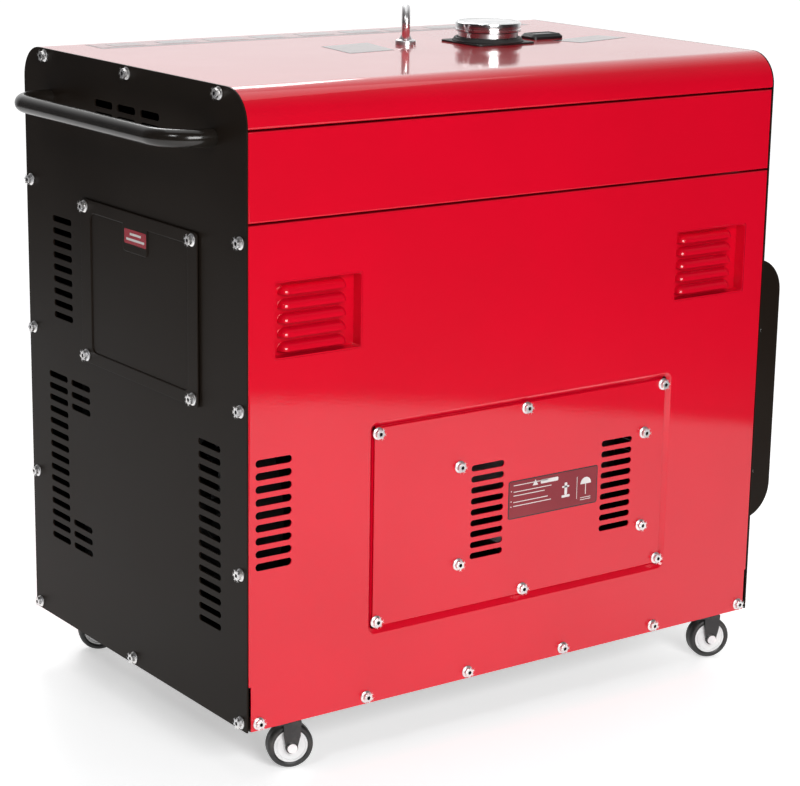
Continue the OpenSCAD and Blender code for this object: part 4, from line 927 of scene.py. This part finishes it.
def roof_film(name, corners, lift, material):
    """A film on the roof with the given corners (mm), lift millimetres above it."""
    clear()
    bpy.ops.mesh.primitive_plane_add(size=1)
    obj = bpy.context.object
    obj.name = name
    for vertex, (x, y) in zip(obj.data.vertices, (corners[0], corners[1], corners[3], corners[2])):
        vertex.co = Vector((x * MM, y * MM, (TOP + lift) * MM))
    settle(obj)
    bpy.ops.object.mode_set(mode="EDIT")
    face_out()
    modify(obj, "SOLIDIFY", thickness=0.1 * MM, offset=-1 if obj.data.polygons[0].normal.z > 0 else 1)
    return hand_over(obj, "cabinet", material)


def panel(x0, y0, x1, y1):
    """The corners of a film that lies square to the roof."""
    return ((x0, y0), (x1, y0), (x1, y1), (x0, y1))


roof_film("roof_placard_left_edge", ((-85, -17), (-17, -10), (1, 73), (-74, 61)), EDGE_LIFT, film_grey)
roof_film("roof_placard_left", ((-83.5, -15.5), (-18, -8.8), (-1, 71.4), (-72.8, 59.6)), FILM_LIFT, film_dark)
roof_film("roof_placard_right_edge", ((235, -49), (328, -26), (312, 12), (219, -11)), EDGE_LIFT, film_grey)
roof_film("roof_placard_right", ((236.4, -47), (326, -24.8), (311, 10.3), (221, -11.6)), FILM_LIFT, film_dark)
roof_film("roof_strip_edge", panel(-313, 158, 318, 204), EDGE_LIFT, film_grey)
roof_film("roof_strip", panel(-310, 166, 315, 202), FILM_LIFT, film_red)
for i in range(9):
    roof_film(f"roof_strip_mark_{i}", panel(-290 + 66 * i, 172, -250 + 66 * i + 6 * (i % 3), 195), MARK_LIFT,
              film_grey if i % 2 else film_dark)

# %% [markdown]
# ## The fuel gauge
#
# A low black housing with soft sloping sides holds a black dial with a white needle.

# %% Mould the gauge
gauge_x, gauge_y = GAUGE
body = plate("gauge_body", 2, (gauge_x - 24, gauge_y - 15, TOP), (gauge_x + 24, gauge_y + 15, TOP + 3), 6)
pick(body, "FACE", looks(2, 1))
bpy.ops.mesh.inset(thickness=4 * MM, depth=3.5 * MM)
bpy.ops.mesh.inset(thickness=2.2 * MM, depth=0)
bpy.ops.mesh.inset(thickness=0.3 * MM, depth=-0.8 * MM)
bpy.ops.object.mode_set(mode="OBJECT")
modify(body, "BEVEL", width=0.6 * MM, segments=2, limit_method="ANGLE", angle_limit=math.radians(25))
hand_over(body, "cabinet", black_plastic, "fuel_gauge")
dial = plate("gauge_dial", 2, (gauge_x - 13, gauge_y - 5, TOP + 5.5),
             (gauge_x + 13, gauge_y + 5, TOP + 5.9), 2)
hand_over(dial, "cabinet", ink_black)
needle = plate("gauge_needle", 2, (gauge_x - 0.5, gauge_y - 4, TOP + 5.9),
               (gauge_x + 0.5, gauge_y + 3, TOP + 6.1), 0.3)
hand_over(needle, "cabinet", ink_white)

# %% [markdown]
# ## The filter cover
#
# The cover over the air filter is a pressing: a flat rim with a bolt in each corner, a soft step down to a
# sunk middle, and a notch at the top where the rim reaches in and carries a small red plate.

# %% Press the filter cover
def on_lip(edge):
    """Whether an edge runs round the outer side of the opening."""
    inside = all(near(v.co.x, FX) and abs(v.co.y / MM - FY) < 112 and abs(v.co.z / MM - FZ) < 83
                 for v in edge.verts)
    return inside and edge.calc_face_angle(0) > 1


rim = plate("filter_cover_sheet", 0, (FX, FY - 130.75, FZ - 96), (FX + 1.4, FY + 130.75, FZ + 96), 4, 0.5)
opening = plate("opening", 0, (FX - 9, FY - 109.5, FZ - 81), (FX + 9, FY + 107, FZ + 81.5), 8)
notch = plate("notch", 0, (FX - 9, -45.5, LOW + 491), (FX + 9, 9.5, LOW + 560), 6)
cut(opening, notch)
cut(rim, opening)
pick(rim, "EDGE", on_lip)
bpy.ops.mesh.bevel(offset=1.35 * MM, segments=4, affect="EDGES")
bpy.ops.object.mode_set(mode="OBJECT")
middle = plate("middle", 0, (FX + 1.35, FY - 112, FZ - 83.5), (FX + 2.3, FY + 109.5, FZ + 84), 4)
filter_cover = joined([rim, middle], "filter_cover_sheet")
hand_over(filter_cover, "cabinet", panel_black, "filter_cover", 50)
tag = plate("filter_tag", 0, (FX - 0.15, -44, LOW + 501), (FX + 0.05, 4.5, LOW + 517.5), 1.5)
hand_over(tag, "cabinet", film_red)
for name, z, y0, y1 in (("filter_tag_bar_a", 511.2, -33, -8), ("filter_tag_bar_b", 505, -40, 0)):
    bar = plate(name, 0, (FX - 0.25, y0, LOW + z), (FX - 0.1, y1, LOW + z + 2.6), 0.8)
    hand_over(bar, "cabinet", ink_white)

# %% [markdown]
# ## The wheels
#
# Each caster has a hard black tyre with round shoulders on a white moulded rim, whose face steps down
# through a groove to its hub. One tyre and one rim are turned about their axle and copied to the four axles,
# each copy on its own wheel's body.

# %% Turn the tyre and the rim
WHEELS = ("near_left", "near_right", "far_left", "far_right")
TYRE_R, RIM_R, SWIVEL = 26.0, 19.5, math.radians(-20)


def mirrored(half, middle=()):
    """A closed outline from its first half, as (radius, height) points, with middle between the halves."""
    return [*half, *middle, *((radius, -height) for radius, height in reversed(half)), half[0]]


tyre_outline = mirrored([(RIM_R, -9), (RIM_R + 1.2, -9.7), (22, -10), (23.6, -9.7), (25.1, -8.4),
                         (25.9, -6.2), (TYRE_R, -4), (TYRE_R, -0.4)], [(TYRE_R - 0.25, 0)])
rim_outline = mirrored([(4.15, -10), (7.2, -10), (7.8, -9.6), (8.2, -8.4), (15.6, -8.1), (16.2, -7.4),
                        (16.9, -7.4), (17.4, -8.3), (19.0, -8.5), (19.45, -8)])


def wheel_ring(name, outline, material, corner, replaced):
    """A turned ring laid on a wheel's axle."""
    obj = weld(turned(name, outline, 64))
    low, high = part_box(f"tyre_{corner}")
    middle = [(a + b) / 2 / MM for a, b in zip(low, high)]
    stand(obj, facing(middle, (math.sin(-SWIVEL), math.cos(SWIVEL), 0)))
    return hand_over(obj, f"wheel_{corner}", material, replaced)


for corner in WHEELS:
    wheel_ring(f"wheel_tyre_{corner}", tyre_outline, tyre_black, corner, f"tyre_{corner}")
    wheel_ring(f"wheel_rim_{corner}", rim_outline, rim_white, corner, f"rim_{corner}")

# %% [markdown]
# ## The seal of the service door
#
# A rubber seal lies behind the service side's sheet, round three sides of the door. It keeps rain and light
# out of the gap at the hinges. The fourth side stays free for the latch.

# %% Lay the door seal
DOOR_X, DOOR_Z = (-290, -50), (LOW + 65, LOW + 365)
LIP, GAP = 14, 2.6  # the seal's outer and inner distance from the door


def seal_bar(x0, z0, x1, z1):
    """One straight length of the seal, behind the sheet."""
    return plate("seal", 1, (x0, 236, z0), (x1, 243.4, z1), 3, 0.8)


seal = [seal_bar(DOOR_X[0] - LIP, DOOR_Z[0] - LIP, DOOR_X[0] - GAP, DOOR_Z[1] + LIP),
        seal_bar(DOOR_X[0] - 6, DOOR_Z[1] + GAP, DOOR_X[1] + 4, DOOR_Z[1] + LIP),
        seal_bar(DOOR_X[0] - 6, DOOR_Z[0] - LIP, DOOR_X[1] + 4, DOOR_Z[0] - GAP)]
hand_over(joined(seal, "door_seal"), "cabinet", rubber)

# %% [markdown]
# ## The carry handles
#
# Each handle is a steel tube, bent twice and welded to the end panel. A circle is extruded out of the panel,
# spun through the first bend, extruded along the grip, spun through the second bend and led back to the
# panel. The other end's handle is the same one turned half round. REACH is less than the CAD handle's reach.

# %% Bend the handles
TUBE_R, LEG_Y, BEND, REACH, HANDLE_Z = 10, 182, 42, 51, 703
stub = REACH - BEND
clear()
bpy.ops.mesh.primitive_circle_add(vertices=32, radius=TUBE_R * MM, location=(0, 0, 0))
tube = stand(bpy.context.object, facing((-HALF_L + 1, -LEG_Y, HANDLE_Z), (-1, 0, 0)))
bpy.ops.object.mode_set(mode="EDIT")
bpy.ops.mesh.select_all(action="SELECT")
for step, turn_y in (((-stub - 1, 0, 0), BEND - LEG_Y), ((0, 2 * (LEG_Y - BEND), 0), LEG_Y - BEND)):
    bpy.ops.mesh.extrude_edges_move(TRANSFORM_OT_translate={"value": [v * MM for v in step]})
    middle = [v * MM for v in (-HALF_L - stub, turn_y, HANDLE_Z)]
    bpy.ops.mesh.spin(steps=14, angle=math.pi / 2, center=middle, axis=(0, 0, 1))
bpy.ops.mesh.extrude_edges_move(TRANSFORM_OT_translate={"value": ((stub + 1) * MM, 0, 0)})
bpy.ops.object.mode_set(mode="OBJECT")
close_ends(tube)
handles = copies(tube, [Matrix(), Matrix.Rotation(math.pi, 4, "Z")], "handles")
print("handles span", [round(v / MM) for v in handles.dimensions])
hand_over(handles, "cabinet", tube_black, "carry_handles", 40)

# %% [markdown]
# ## The floor
#
# The floor is a pale disc that lies off centre, with a barely uneven coat. It glows a little, so that its
# edge fades into the white behind it.

# %% Lay the floor
floor_coat = finish("floor_coat", (0.95, 0.95, 0.95), (0.93, 0.93, 0.935), (0.45, 0.5), scale=0.5,
                    bump=0.05)
glow = floor_coat.node_tree.nodes["Principled BSDF"]
glow.inputs["Emission Color"].default_value = (1, 1, 1, 1)
glow.inputs["Emission Strength"].default_value = 0.5
bpy.ops.object.select_all(action="DESELECT")
bpy.ops.mesh.primitive_circle_add(vertices=96, radius=2.3, fill_type="NGON", location=(-0.7, 0.3, -0.0004))
floor = bpy.context.object
floor.name = "floor"
floor.data.materials.append(floor_coat)
print("laid a floor", round(floor.dimensions.x, 1), "m across")
